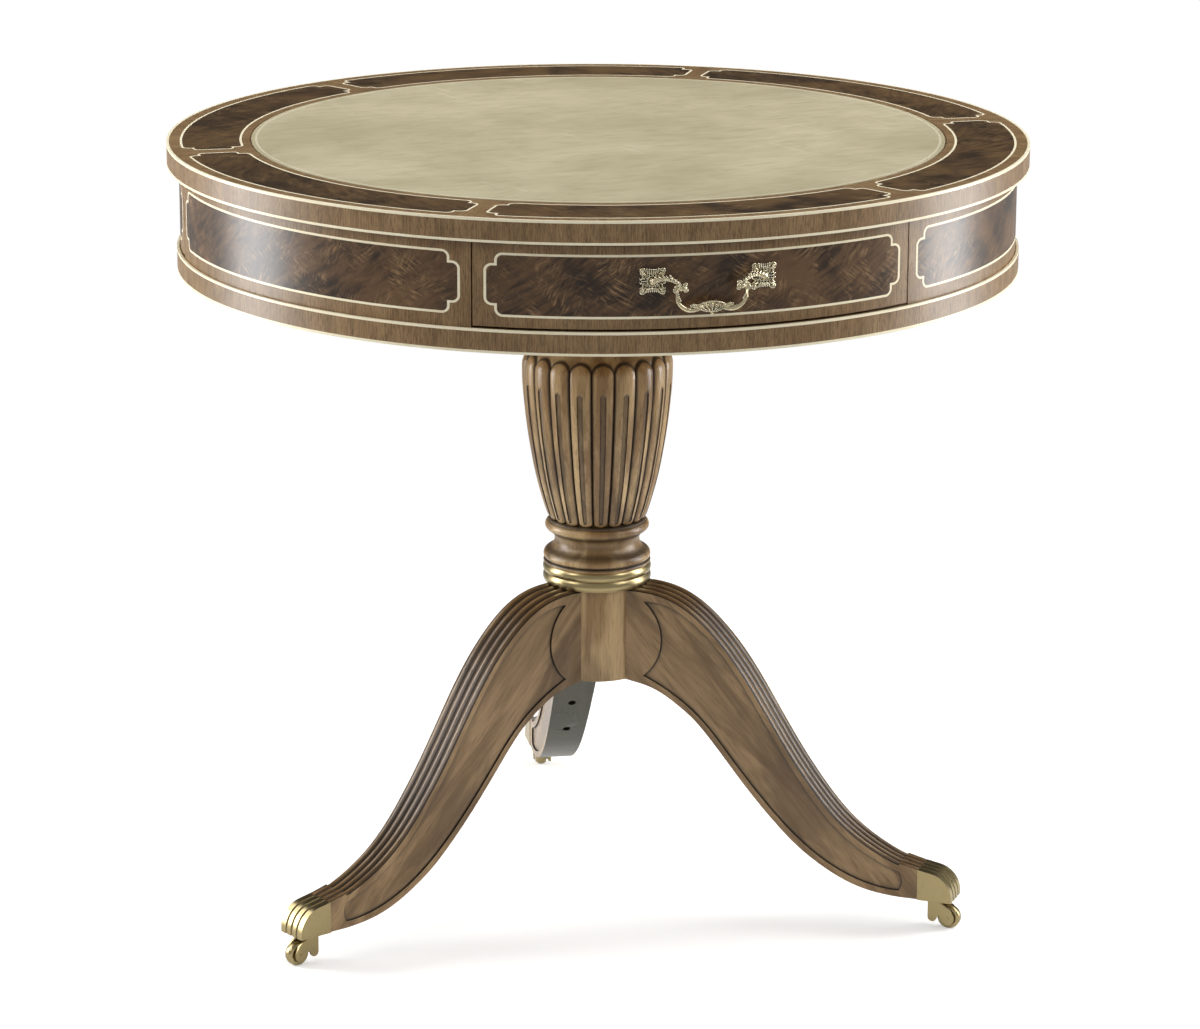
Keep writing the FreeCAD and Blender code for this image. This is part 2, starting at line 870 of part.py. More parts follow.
def makeBlock():
    body = cylinder("BlockTurning", size.block_radius, size.block_height, z=size.block_bottom)
    doc.recompute()
    tools = []
    top = float(blockTop - size.tongue_stop)
    high = float(size.block_height) + 2 * float(size.overrun)
    low = float(size.block_bottom) - float(size.overrun)
    for azimuth in legAzimuths.values():
        flat = Part.makeBox(
            float(size.block_radius),
            2 * float(size.block_radius),
            high,
            vec(blockFlat(), -float(size.block_radius), low),
        )
        slot = tongueShape(float(size.joint_fit), top + float(size.joint_fit))
        for tool in (flat, slot):
            tool.rotate(origin, upright, azimuthTurn(azimuth) + float(size.leg_turn))
            tools.append(tool)
    spigot = Part.makeCylinder(
        float(size.spigot_radius + size.joint_fit),
        float(size.spigot_length + size.joint_fit + size.overrun),
        vec(0, 0, blockTop - size.spigot_length - size.joint_fit),
    )
    bore = Part.makeCylinder(float(size.rod_radius + size.rod_clearance), high, vec(0, 0, low))
    tools += [spigot, bore]
    for x, y in plateScrewSpots():
        hole = pilotHole(x, y)
        hole.rotate(origin, upright, azimuthTurn(legAzimuths["right"]) + float(size.leg_turn))
        tools.append(hole)
    cutters = feature("BlockCutters", Part.makeCompound(tools))
    cutters.Shape = tools[0].fuse(tools[1:])
    node(cut("Block", body, cutters), "leg_block")


def makeLegPlate():
    plateBottom = size.block_bottom - size.plate_thickness
    plate = cylinder("PlateDisc", size.plate_radius, size.plate_thickness, z=plateBottom)
    bore = cylinder(
        "PlateBore",
        size.rod_radius + size.rod_clearance,
        size.plate_thickness + 2 * size.overrun,
        z=plateBottom - size.overrun,
    )
    legTurn = azimuthTurn(legAzimuths["right"]) + float(size.leg_turn)
    screws, holes = [], []
    base = plateBottom + size.plate_screw_sink
    for x, y in plateScrewSpots():
        spot = turned(legTurn).multVec(vec(x, y, base))
        screw = screwShape()
        screw.translate(spot)
        screws.append(screw)
        sink = Part.makeCone(
            float(size.screw_head_radius + size.screw_fit),
            float(size.screw_radius + size.screw_fit),
            float(size.screw_head_height),
            spot,
        )
        mouth = Part.makeCylinder(
            float(size.screw_head_radius + size.screw_fit),
            float(size.plate_screw_sink + size.overrun),
            spot - vec(0, 0, size.plate_screw_sink + size.overrun),
        )
        shank = Part.makeCylinder(float(size.screw_radius + size.screw_fit), float(size.screw_length), spot)
        holes += [sink, mouth, shank]
    holeTool = feature("PlateHoles", holes[0].fuse(holes[1:]))
    node(cut("LegPlate", plate, bore, holeTool), "leg_plate")
    node(feature("PlateScrews", Part.makeCompound(screws)), "plate_screws")


def makeLegScrews():
    screws = []
    for azimuth in legAzimuths.values():
        for spot, inward in legScrewAxes():
            screw = screwShape()
            seat = spot + inward * float(size.leg_screw_sink)
            screw.Placement = FreeCAD.Placement(seat, FreeCAD.Rotation(upright, inward))
            screw.rotate(origin, upright, azimuthTurn(azimuth) + float(size.leg_turn))
            screws.append(screw)
    node(feature("LegScrews", Part.makeCompound(screws)), "leg_screws")


def capOutline():
    """The cap's upper line: a slope, a round toe and the upright nose."""
    slope = math.radians(float(size.cap_slope))
    start = vec(size.leg_reach, 0, size.cap_bottom + size.cap_height)
    nose = float(size.leg_reach + size.cap_length)
    corner = vec(nose, 0, start.z - (nose - start.x) * math.tan(slope))
    radius = float(size.cap_toe_radius)
    opening = math.radians(rightAngle) + slope
    reach = radius / math.tan(half * opening)
    first = corner + vec(-math.cos(slope), 0, math.sin(slope)) * reach
    last = corner - vec(0, 0, reach)
    toCentre = vec(-math.sin(slope), 0, -math.cos(slope)) * radius
    centre = first + toCentre
    away = (corner - centre).normalize()
    middle = centre + away * radius
    end = vec(nose, 0, size.cap_bottom)
    return start, first, middle, last, end


def makeCap(side, azimuth):
    start, first, middle, last, end = capOutline()
    back = vec(size.leg_reach, 0, size.cap_bottom)
    upper = [line(start, first), arc(first, middle, last), line(last, end)]
    edges = [line(back, start), *upper, line(end, back)]
    width = float(size.cap_width)
    solid = Part.Face(Part.Wire(edges)).extrude(vec(0, width, 0))
    solid.translate(vec(0, -half * width, 0))
    count = int(float(size.reed_count))
    tools = []
    for i in range(1, count):
        offset = vec(0, width * (i / count - half), 0)
        path = Part.Wire(upper)
        circle = Part.Wire(Part.makeCircle(float(size.cap_groove_radius), start, first - start))
        groove = path.makePipeShell([circle], True, True)
        groove.translate(offset)
        tools.append(groove)
    wall = float(size.cap_wall)
    hollow = Part.makeBox(
        float(size.swivel_inset) + 2 * float(size.fork_pin_radius) - wall + float(size.overrun),
        width - 2 * wall,
        float(size.tenon_height + 2 * size.cap_fit),
        vec(size.leg_reach - size.overrun, wall - half * width, size.cap_bottom + size.cap_wall),
    )
    pinHole = Part.makeCylinder(
        float(size.fork_pin_radius + size.fork_pin_clearance),
        2 * wall + float(size.overrun),
        vec(size.leg_reach + size.swivel_inset, 0, size.cap_bottom - size.overrun),
    )
    whole = solid.cut(tools + [hollow, pinHole])
    node(feature("Cap" + side, whole, azimuthTurn(azimuth)), "cap_" + side)


# Corners of the fork's arm from the hub over its radius, and the neck's reach
# past the swivel, high and low, over the hook's radius
forkArmShares = ((0.92, 0.4), (0.35, 1.35))
forkNeckShares = (0.8, 1.2)


def makeCaster(side, azimuth):
    """Fork, axle and wheel, with the wheel trailing outwards."""
    swing = azimuthTurn(azimuth)
    swivel = float(size.leg_reach + size.swivel_inset)
    top = float(size.cap_bottom - size.swivel_gap)
    hub = vec(swivel + float(size.caster_trail), 0, size.wheel_radius)
    back = swivel - float(size.fork_back)
    hook = float(size.fork_hook_radius)
    arm = float(size.fork_arm_radius)
    crown = float(size.fork_crown)
    halfGap = half * float(size.wheel_width) + float(size.fork_side_gap)
    cheek = float(size.fork_cheek)
    hookCentre = vec(back + hook, 0, hub.z)
    shoulderTop = top - crown
    crotch = hub.x - arm - half * hook
    armPoints = [hub + vec(arm * x, 0, arm * z) for x, z in forkArmShares]
    neckHigh, neckLow = [swivel + hook * share for share in forkNeckShares]
    outline = Part.makePolygon([
        vec(back, 0, top),
        vec(back, 0, hookCentre.z),
        vec(back + 2 * hook, 0, hookCentre.z),
        vec(crotch, 0, hub.z + half * hook),
        hub,
        *armPoints,
        vec(neckLow, 0, shoulderTop),
        vec(neckHigh, 0, top),
        vec(back, 0, top),
    ])
    sides = []
    for start in (-halfGap - cheek, halfGap):
        plate = Part.Face(outline).extrude(vec(0, cheek, 0))
        across = FreeCAD.Vector(0, 1, 0)
        lobe = Part.makeCylinder(hook, cheek, hookCentre, across)
        boss = Part.makeCylinder(arm, cheek, hub, across)
        side_ = plate.fuse([lobe, boss])
        side_.translate(vec(0, start, 0))
        sides.append(side_)
    bridge = Part.makeBox(
        neckHigh - back,
        2 * halfGap,
        crown,
        vec(back, -halfGap, top - crown),
    )
    heel = Part.makeBox(cheek, 2 * halfGap, top - hookCentre.z, vec(back, -halfGap, hookCentre.z))
    pin = Part.makeCylinder(
        float(size.fork_pin_radius),
        float(size.fork_pin_rise),
        vec(swivel, 0, top - half * crown),
    )
    fork = sides[0].fuse([sides[1], bridge, heel, pin])
    across = FreeCAD.Vector(0, 1, 0)
    depth = 2 * (halfGap + cheek)
    hole = Part.makeCylinder(
        float(size.axle_radius),
        depth + 2 * float(size.overrun),
        hub - across * (half * depth + float(size.overrun)),
        across,
    )
    fork = fork.cut(hole).removeSplitter()
    node(feature("Fork" + side, fork, swing), "caster_fork_" + side)
    makeAxle(side, swing)
    makeWheel(side, hub, swing)


def makeAxle(side, swing):
    """The riveted axle, drawn along +Y and turned to its caster."""
    reach = half * size.wheel_width + size.fork_side_gap + size.fork_cheek + size.axle_head
    hubRadius = size.leg_reach + size.swivel_inset + size.caster_trail
    height = size.wheel_radius
    axle = cylinder("AxleBar" + side, size.axle_radius, 2 * reach, x=hubRadius, y=-reach, z=height)
    axle.Placement = FreeCAD.Placement(axle.Placement.Base, layDown)
    node(spun("Axle" + side, swing, axle), "caster_axle_" + side)


def makeWheel(side, hub, swing):
    """The wheel turned about Z, then laid on its axle."""
    bore = size.axle_radius + size.axle_clearance
    edge = half * size.wheel_width
    rim = size.wheel_radius
    soft = size.wheel_edge_round
    dish = size.wheel_dish_radius
    face = edge - size.wheel_dish_depth
    body = revolvedBody("Wheel" + side, [
        (bore, -face),
        (dish, -face),
        (dish + size.wheel_dish_depth, -edge),
        (rim - soft, -edge),
        (rim - soft * 0.3, soft * 0.3 - edge),
        (rim, soft - edge),
        (rim, edge - soft),
        (rim - soft * 0.3, edge - soft * 0.3),
        (rim - soft, edge),
        (dish + size.wheel_dish_depth, edge),
        (dish, face),
        (bore, face),
    ])
    laid = FreeCAD.Rotation(FreeCAD.Vector(1, 0, 0), rightAngle)
    body.Placement = FreeCAD.Placement(turned(swing).multVec(hub), turned(swing).multiply(laid))
    node(body, "caster_wheel_" + side)


def makeTieRod():
    washerLow = size.block_bottom - size.plate_thickness - size.washer_thickness
    nutLow = washerLow - size.nut_height
    rodLow = nutLow - size.rod_overhang * 0.25
    rodHigh = lowerPlateTop + size.nut_height + size.rod_overhang * 0.25
    rod = cylinder("RodBar", size.rod_radius, rodHigh - rodLow, z=rodLow)
    node(rod, "tie_rod")
    pieces = []
    for name, z in (("LowNut", nutLow), ("HighNut", lowerPlateTop)):
        nut = hexagon(name + "Hex", size.nut_flats, size.nut_height, z=z)
        boreHeight = size.nut_height + 2 * size.overrun
        bore = cylinder(name + "Bore", size.rod_radius, boreHeight, z=z - size.overrun)
        pieces.append(cut(name, nut, bore))
    washer = cylinder("WasherDisc", size.washer_radius, size.washer_thickness, z=washerLow)
    washerBore = cylinder(
        "WasherBore",
        size.rod_radius + size.rod_clearance,
        size.washer_thickness + 2 * size.overrun,
        z=washerLow - size.overrun,
    )
    pieces.append(cut("Washer", washer, washerBore))
    node(gather("RodNuts", *pieces), "tie_rod_nuts")


def makeBearing():
    """The turning bearing: two grooved plates with a full ring of balls."""
    lower = cylinder("LowerDisc", size.race_radius + size.lower_race_rim, size.bearing_plate, z=columnTop)
    lowerBore = cylinder(
        "LowerBore",
        size.rod_radius + size.rod_clearance,
        size.bearing_plate + 2 * size.overrun,
        z=columnTop - size.overrun,
    )
    race = doc.addObject("Part::Torus", "LowerRace")
    bind(race, Radius1=size.race_radius, Radius2=size.ball_radius + size.race_fit)
    place(race, z=ballHeight)
    node(cut("LowerPlate", lower, lowerBore, race), "bearing_plate_lower")
    rim = size.race_radius + size.upper_race_rim
    upper = revolvedBody("UpperRing", [
        (size.upper_race_bore, upperPlateBottom),
        (rim, upperPlateBottom),
        (rim, boardBottom),
        (size.upper_race_bore, boardBottom),
    ])
    upperRace = doc.addObject("Part::Torus", "UpperRace")
    bind(upperRace, Radius1=size.race_radius, Radius2=size.ball_radius + size.race_gap)
    place(upperRace, z=ballHeight)
    circle = rim - size.bearing_screw_inset
    screws, holes = [], []
    for i in range(6):
        angle = math.radians(fullTurn / 6 * i)
        spot = vec(float(circle) * math.cos(angle), float(circle) * math.sin(angle), upperPlateBottom)
        screw = bearingScrew()
        screw.translate(spot)
        screws.append(screw)
        hole = bearingScrew(float(size.screw_fit))
        hole.translate(spot)
        holes.append(hole)
    holeTool = feature("BearingHoles", Part.makeCompound(holes))
    node(cut("UpperPlate", upper, upperRace, holeTool), "bearing_plate_upper")
    node(feature("BearingScrews", Part.makeCompound(screws)), "bearing_screws")
    count = int(float(size.ball_count))
    balls, pockets = [], []
    cageBottom = ballHeight - half * size.cage_thickness
    for i in range(count):
        angle = 2 * math.pi * i / count
        reach = float(size.race_radius)
        spot = vec(reach * math.cos(angle), reach * math.sin(angle), ballHeight)
        balls.append(Part.makeSphere(float(size.ball_radius), spot))
        pockets.append(Part.makeSphere(float(size.ball_radius + size.cage_fit), spot))
    node(feature("Balls", Part.makeCompound(balls)), "bearing_balls")
    cageInner = size.race_radius - half * size.cage_width
    cage = revolvedBody("CageRing", [
        (cageInner, cageBottom),
        (cageInner + size.cage_width, cageBottom),
        (cageInner + size.cage_width, cageBottom + size.cage_thickness),
        (cageInner, cageBottom + size.cage_thickness),
    ])
    pocketTool = feature("CagePockets", Part.makeCompound(pockets))
    node(cut("Cage", cage, pocketTool), "bearing_cage")
    return holes


def bearingScrew(slack=0.0):
    """A small countersunk screw up through the upper plate into the bottom board."""
    length = float(size.bearing_plate) + half * float(size.bottom_thickness)
    radius = float(size.screw_radius) * 0.85
    head = Part.makeCone(radius * 1.8 + slack, radius + slack, radius)
    return head.fuse(Part.makeCylinder(radius + slack, length + slack))


def makeBottomBoard(screwHoles):
    board = cylinder("BoardDisc", bandBore - size.board_fit, size.bottom_thickness, z=boardBottom)
    bore = cylinder(
        "BoardBore",
        size.bottom_bore,
        size.bottom_thickness + 2 * size.overrun,
        z=boardBottom - size.overrun,
    )
    holes = feature("BoardScrewHoles", Part.makeCompound(screwHoles))
    node(cut("BottomBoard", board, bore, holes), "bottom_board")


def makeBandAndEdges():
    """The lower band and the pale edge strings let into it and into the top."""
    string = size.edge_string
    outer = bandRadius
    rim = size.top_radius
    band = revolvedBody("Band", [
        (bandBore, bandBottom),
        (outer - string, bandBottom),
        (outer - string, bandBottom + string),
        (outer, bandBottom + string),
        (outer, bandTop - string),
        (outer - string, bandTop - string),
        (outer - string, bandTop),
        (bandBore, bandTop),
    ])
    node(band, "lower_band")
    rings = [
        ringSolid("BandLowString", outer - string, outer, bandBottom, bandBottom + string),
        ringSolid("BandHighString", outer - string, outer, bandTop - string, bandTop),
        ringSolid("TopLowString", rim - string, rim, topBottom, topBottom + string),
        ringSolid("TopHighString", rim - string, rim, tableHeight - string, tableHeight),
    ]
    node(gather("EdgeStrings", *rings), "edge_stringing")


def roundedBlock(name, reach, tall, low, corner):
    """A block through the front, facing -Y, with its four long edges rounded."""
    front = -(friezeRadius + size.overrun)
    blocks = [
        box(name + "Wide", 2 * reach, friezeRadius, tall - 2 * corner, x=-reach, y=front, z=low + corner),
        box(name + "High", 2 * (reach - corner), friezeRadius, tall, x=corner - reach, y=front, z=low),
    ]
    for i, x in enumerate((corner - reach, reach - corner)):
        for j, z in enumerate((low + corner, low + tall - corner)):
            bar = cylinder(f"{name}Corner{i}{j}", corner, friezeRadius, x=x, y=front, z=z)
            bar.Placement = FreeCAD.Placement(bar.Placement.Base, layDown)
            blocks.append(bar)
    return fuse(name, *blocks)


def friezePrism(name, inset):
    """The notched panel outline of the frieze as a prism through the front."""
    endAngle = frontHalfAngle - degreesOf(size.panel_end_margin / friezeRadius)
    stepAngle = endAngle - degreesOf(size.panel_step / friezeRadius)
    low = panelBottom + size.panel_low_margin + inset
    high = panelTop - size.panel_high_margin - inset
    corner = size.panel_corner - inset
    step = size.panel_step
    long = roundedBlock(name + "Long", friezeRadius * sineOf(endAngle) - inset, high - low - 2 * step,
                        low + step, corner)
    tall = roundedBlock(name + "Tall", friezeRadius * sineOf(stepAngle) - inset, high - low, low, corner)
    return fuse(name, long, tall)


def makeFriezeInlay():
    """The veneer, the string round it and the recess for both, facing -Y."""
    outer = friezePrism("FriezeOuter", noInset)
    inner = friezePrism("FriezeInner", size.string_width)
    skinInner = friezeRadius - size.veneer_thickness
    skin = wedge("FriezeSkin", skinInner, friezeRadius, panelBottom, panelTop, frontHalfAngle)
    veneer = common("FriezeVeneer", skin, inner)
    string = common("FriezeString", skin, cut("FriezeBorder", outer, inner))
    skinOuter = friezeRadius + size.overrun
    thick = wedge("FriezeSkinTool", skinInner, skinOuter, panelBottom, panelTop, frontHalfAngle)
    recess = common("FriezeRecess", thick, outer)
    return veneer, string, recess


def makeFixedFronts(veneer, string, recess):
    """The three false fronts between the drawers, each one curved board with its backing."""
    face = wedge("FixedFace", frontInner, friezeRadius, bandTop, panelTop, frontHalfAngle)
    backing = wedge(
        "FixedBacking",
        frontInner - size.backing_thickness,
        bandBore - size.board_fit,
        boardTop,
        topBottom,
        fullTurn / 12,
    )
    bay = size.drawer_width * half + size.drawer_side_gap + size.guide_thickness
    keepOut = box("DrawerBay", 2 * bay, size.top_radius, tableHeight, x=-bay, y=-size.top_radius)
    bays = [spun(f"DrawerBay{number}", side * fullTurn / 6, keepOut) for number, side in enumerate((-1, 1))]
    board = cut("FixedBoard", fuse("FixedBlank", face, cut("FixedBackingCut", backing, *bays)), recess)
    groups = {"fixed_fronts": board, "fixed_veneers": veneer, "fixed_stringing": string}
    for label, piece in groups.items():
        title = label.title().replace("_", "")
        copies = [spun(f"{title}{number}", angle, piece) for number, angle in enumerate(fixedAzimuths)]
        node(gather(title, *copies), label)


def makeGuides():
    """An L-shaped board each side of every drawer: it guides the side and carries it."""
    near = size.drawer_width * half + size.drawer_side_gap
    wall = size.guide_thickness
    outside = near + wall
    far = rootOf(frontInner * frontInner - outside * outside) - size.guide_front_gap
    length = far - size.guide_back
    ledgeHeight = panelBottom + size.drawer_lift - size.runner_gap - boardTop
    pair = []
    ledgeWidth = size.guide_ledge
    for side, wallStart, ledgeStart in (("Right", near, near - ledgeWidth), ("Left", -outside, -near)):
        board = box(f"Guide{side}Wall", wall, length, topBottom - boardTop, x=wallStart, y=-far, z=boardTop)
        ledge = box(f"Guide{side}Ledge", ledgeWidth, length, ledgeHeight, x=ledgeStart, y=-far, z=boardTop)
        pair.append(fuse("Guide" + side, board, ledge))
    copies = [spun(f"Guides{name.title()}", angle, *pair) for name, angle in drawerAzimuths.items()]
    node(gather("Guides", *copies), "drawer_guides")


def topPanelPrism(inset, bottom, top):
    """The notched outline of one border panel of the top, between two heights, facing -Y."""
    inner = float(topPanelInner)
    outer = float(topPanelOuter)
    middle = half * (inner + outer)
    step = float(size.panel_step)
    endAngle = math.radians(fullTurn / 12) - float(size.top_panel_margin) / middle
    corner = float(size.panel_corner) - inset
    blocks = []
    for angle, rise in ((endAngle, step), (endAngle - step / middle, 0)):
        halfAngle = math.degrees(angle - inset / middle)
        block = sector(inner + rise + inset, outer - rise - inset, bottom, top, halfAngle)
        blocks.append(roundedAlong(block, upright, corner))
    return blocks[0].fuse(blocks[1])


def makeTop():
    """The top board with its leather, border panels and strings, all let in flush."""
    skinBottom = tableHeight - size.veneer_thickness
    recessTop = tableHeight + size.overrun
    disc = cylinder("TopDisc", size.top_radius, size.top_thickness, z=topBottom)
    leatherBottom = tableHeight - size.leather_thickness
    leatherBed = cylinder(
        "LeatherBed",
        leatherRadius + size.leather_groove,
        size.leather_thickness + size.overrun,
        z=leatherBottom,
    )
    veneers, strings, recesses = [], [], []
    for i in range(6):
        angle = fullTurn / 6 * i
        whole = topPanelPrism(0, skinBottom, tableHeight)
        inner = topPanelPrism(float(size.string_width), skinBottom, tableHeight)
        recess = topPanelPrism(0, skinBottom, recessTop)
        string = whole.cut(inner)
        for shape, group in ((inner, veneers), (string, strings), (recess, recesses)):
            shape.rotate(origin, upright, angle)
            group.append(shape)
    string = size.edge_string
    outer = size.top_radius
    lowBed = ringSolid("TopLowBed", outer - string, outer + size.overrun, topBottom - size.overrun,
                       topBottom + string)
    highBed = ringSolid("TopHighBed", outer - string, outer + size.overrun, tableHeight - string, recessTop)
    panelBeds = feature("TopPanelBeds", Part.makeCompound(recesses))
    node(cut("TopBoard", disc, leatherBed, lowBed, highBed, panelBeds), "top_board")
    node(feature("TopVeneers", Part.makeCompound(veneers)), "top_veneers")
    node(feature("TopStrings", Part.makeCompound(strings)), "top_stringing")
    leather = cylinder("LeatherDisc", leatherRadius, size.leather_thickness, z=leatherBottom)
    node(leather, "leather_inset")


def drawerBoards():
    """The two grooved sides and the back of a drawer, and its bottom."""
    wide = size.drawer_width * half
    wall = size.drawer_side
    low = panelBottom + size.drawer_lift
    grooveLow = low + size.drawer_bottom_lift
    length = frontInner - size.drawer_back
    seat = cylinder("DrawerSeat", frontInner - size.front_fit, tableHeight)
    boards = []
    for side, start, grooveStart in (
        ("Right", wide - wall, wide - wall - size.overrun),
        ("Left", -wide, wall - wide - size.drawer_groove),
    ):
        blank = box(f"Side{side}Blank", wall, length, size.drawer_side_height, x=start, y=-frontInner, z=low)
        groove = box(f"Side{side}Groove", size.drawer_groove + size.overrun, length + size.overrun,
                     size.drawer_bottom, x=grooveStart, y=-frontInner, z=grooveLow)
        boards.append(cut("Side" + side, common(f"Side{side}Curved", blank, seat), groove))
    boards.append(box(
        "DrawerBack",
        2 * (wide - wall),
        wall,
        size.drawer_side_height - size.drawer_bottom_lift - size.drawer_bottom,
        x=wall - wide,
        y=-(size.drawer_back + wall),
        z=grooveLow + size.drawer_bottom,
    ))
    floorHalf = wide - wall + size.drawer_groove - size.joint_fit
    floor = box("FloorBlank", 2 * floorHalf, length, size.drawer_bottom - 2 * size.joint_fit, x=-floorHalf,
                y=-frontInner, z=grooveLow + size.joint_fit)
    return gather("DrawerBox", *boards), common("DrawerFloor", floor, seat)


def makeDrawers(veneer, string, recess):
    """Front, box, bottom, inlay and handle, drawn facing -Y and turned to their three places."""
    posts = [mountPost(side, float(size.post_clearance)) for side in (-1, 1)]
    holes = feature("PostHoles", Part.makeCompound(posts))
    blank = wedge("FrontBlank", frontInner, friezeRadius, panelBottom, panelTop, frontHalfAngle)
    frame, floor = drawerBoards()
    pieces = {
        "front": cut("FrontBoard", blank, recess, holes),
        "box": frame,
        "bottom": floor,
        "veneer": cut("FrontVeneer", veneer, holes),
        "stringing": string,
        "handle_mounts": feature("HandleMounts", Part.makeCompound(mountShapes(1) + mountShapes(-1))),
        "bail": feature("Bail", bailShape()),
    }
    for name, azimuth in drawerAzimuths.items():
        for label, piece in pieces.items():
            title = (name + "_" + label).title().replace("_", "")
            node(spun("Drawer" + title, azimuth, piece), f"drawer_{name}_{label}")


def mountLean(side):
    """The turn that sets a handle mount square on the curved front."""
    return side * math.degrees(math.asin(float(size.mount_pitch) / float(friezeRadius)))


def mountPost(side, slack=0.0):
    """The threaded post through the front, or with slack the hole for it."""
    radius = float(friezeRadius)
    inner = radius - float(size.front_thickness) - float(size.post_nut_height)
    z = float(panelBottom + size.mount_rise)
    length = radius - inner + float(size.mount_thickness)
    start = vec(0, -inner + float(size.overrun), z)
    post = Part.makeCylinder(
        float(size.post_radius) + slack,
        length + float(size.overrun),
        start,
        FreeCAD.Vector(0, -1, 0),
    )
    post.rotate(origin, upright, mountLean(side))
    return post


def mountShapes(side):
    """One handle mount: plate, boss, arm, knuckle and pivot pin in one casting, and its nut."""
    radius = float(friezeRadius)
    z = float(panelBottom + size.mount_rise)
    wide = float(size.mount_side)
    thick = float(size.mount_thickness)
    gap = half * float(size.post_clearance)
    outward = FreeCAD.Vector(0, -1, 0)
    plate = Part.makeBox(wide, thick, wide, vec(-half * wide, -radius - gap - thick, z - half * wide))
    bossBack = -radius - gap - half * thick
    boss = Part.makeCone(
        float(size.boss_radius),
        float(size.boss_tip_radius),
        half * thick + float(size.boss_height),
        vec(0, bossBack, z),
        outward,
    )
    casting = plate.fuse(boss)
    nutFlats = float(size.post_nut_flats)
    corner = half * nutFlats / math.cos(math.radians(fullTurn / 12))
    nutBack = radius - float(size.front_thickness) - gap
    points = []
    for i in range(7):
        angle = math.radians(fullTurn / 6 * i)
        points.append(vec(corner * math.cos(angle), -nutBack, z + corner * math.sin(angle)))
    nut = Part.Face(Part.makePolygon(points)).extrude(vec(0, size.post_nut_height, 0))
    for shape in (casting, nut):
        shape.rotate(origin, upright, mountLean(side))
    post = mountPost(side)
    nut = nut.cut(post)
    pivot = pivotCentre()
    knuckle = vec(side * float(size.knuckle_pitch), pivot.y, pivot.z)
    rootBack = -radius - thick - gap - half * float(size.boss_height)
    root = turned(mountLean(side)).multVec(vec(0, rootBack, z))
    chord = knuckle - root
    rise = vec(0, side, 0).cross(vec(chord.x, 0, chord.z)).normalize() * float(size.arm_rise)
    arm = bentBar(root, (root + knuckle) * half + rise, knuckle, size.arm_radius)
    across = FreeCAD.Vector(side, 0, 0)
    barrel = Part.makeCylinder(
        float(size.knuckle_radius),
        float(size.knuckle_width),
        knuckle - across * half * float(size.knuckle_width),
        across,
    )
    hole = Part.makeCylinder(
        float(size.pivot_pin_radius + size.pivot_clearance),
        2 * float(size.knuckle_pitch),
        vec(0, pivot.y, pivot.z),
        across,
    )
    casting = casting.fuse([post, arm, barrel]).cut(hole)
    return [casting, nut]


def pivotCentre():
    return vec(0, -(friezeRadius + size.pivot_stand), panelBottom + size.pivot_rise)


def bailShape():
    """The swinging bail: two pins, a bowed bar and the shell with its drop in the middle."""
    pivot = pivotCentre()
    drop = float(size.bail_drop)
    bar = float(size.bail_radius)
    elbow = float(size.knuckle_pitch + half * size.knuckle_width + size.knuckle_gap + size.bail_radius)
    pinEnd = float(size.knuckle_pitch - half * size.knuckle_width + size.knuckle_gap)
    shellHalf = half * float(size.shell_width)
    shellSpan = shellHalf * 0.7
    pieces = []
    for side in (-1, 1):
        pieces.append(Part.makeCylinder(
            float(size.pivot_pin_radius),
            elbow - pinEnd,
            vec(side * pinEnd, pivot.y, pivot.z),
            vec(side, 0, 0),
        ))
        top = pivot + vec(side * elbow, 0, 0)
        bend = pivot + vec(side * elbow, 0, -drop * 0.55)
        low = pivot + vec(side * shellSpan, 0, -drop)
        turnIn = pivot + vec(side * (elbow - (elbow - shellSpan) * 0.24), 0, -drop * 0.9)
        pieces.append(Part.makeCylinder(bar, (bend - top).Length, top, bend - top))
        pieces.append(bentBar(bend, turnIn, low, bar))
        pieces.append(Part.makeSphere(bar, top))
        pieces.append(Part.makeSphere(bar, bend))
    shell = Part.makeSphere(shellHalf)
    squash = FreeCAD.Matrix()
    squash.scale(
        1,
        float(size.shell_depth / size.shell_width),
        float(size.shell_height / size.shell_width),
    )
    shell = shell.transformGeometry(squash)
    shellCentre = pivot + vec(0, 0, -drop + float(size.bail_radius) * 0.6)
    shell.translate(shellCentre)
    finial = Part.makeSphere(
        float(size.finial_radius),
        shellCentre - vec(0, 0, size.shell_height * half + size.finial_radius * 0.6),
    )
    return pieces[0].fuse(pieces[1:] + [shell, finial])


makeBlock()
makeCollar()
makeColumn()
for side, azimuth in legAzimuths.items():
    makeLeg(side, azimuth + size.leg_turn)
for side, azimuth in legAzimuths.items():
    makeCap(side, azimuth + size.leg_turn)
for side, azimuth in legAzimuths.items():
    makeCaster(side, azimuth + size.leg_turn)
makeLegPlate()
makeLegScrews()
makeTieRod()
makeBottomBoard(makeBearing())
makeBandAndEdges()
friezeInlay = makeFriezeInlay()
makeFixedFronts(*friezeInlay)
makeGuides()
makeTop()
makeDrawers(*friezeInlay)

doc.recompute()
for obj in doc.Objects:
    if "Invalid" in obj.State or "Error" in obj.State:
        raise RuntimeError(f"{obj.Label} failed: {obj.State}")
for obj in nodes:
    if obj.Shape.isNull() or not obj.Shape.isValid() or not obj.Shape.Solids:
        raise RuntimeError(f"{obj.Label} has no valid shape")

os.makedirs("parts", exist_ok=True)
for obj in nodes:
    obj.Shape.exportStep(f"parts/{obj.Label}.step")
print(len(nodes), "nodes, table height", round(float(tableHeight), 2))
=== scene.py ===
import bmesh
import bpy
import math
from mathutils import Matrix, Vector


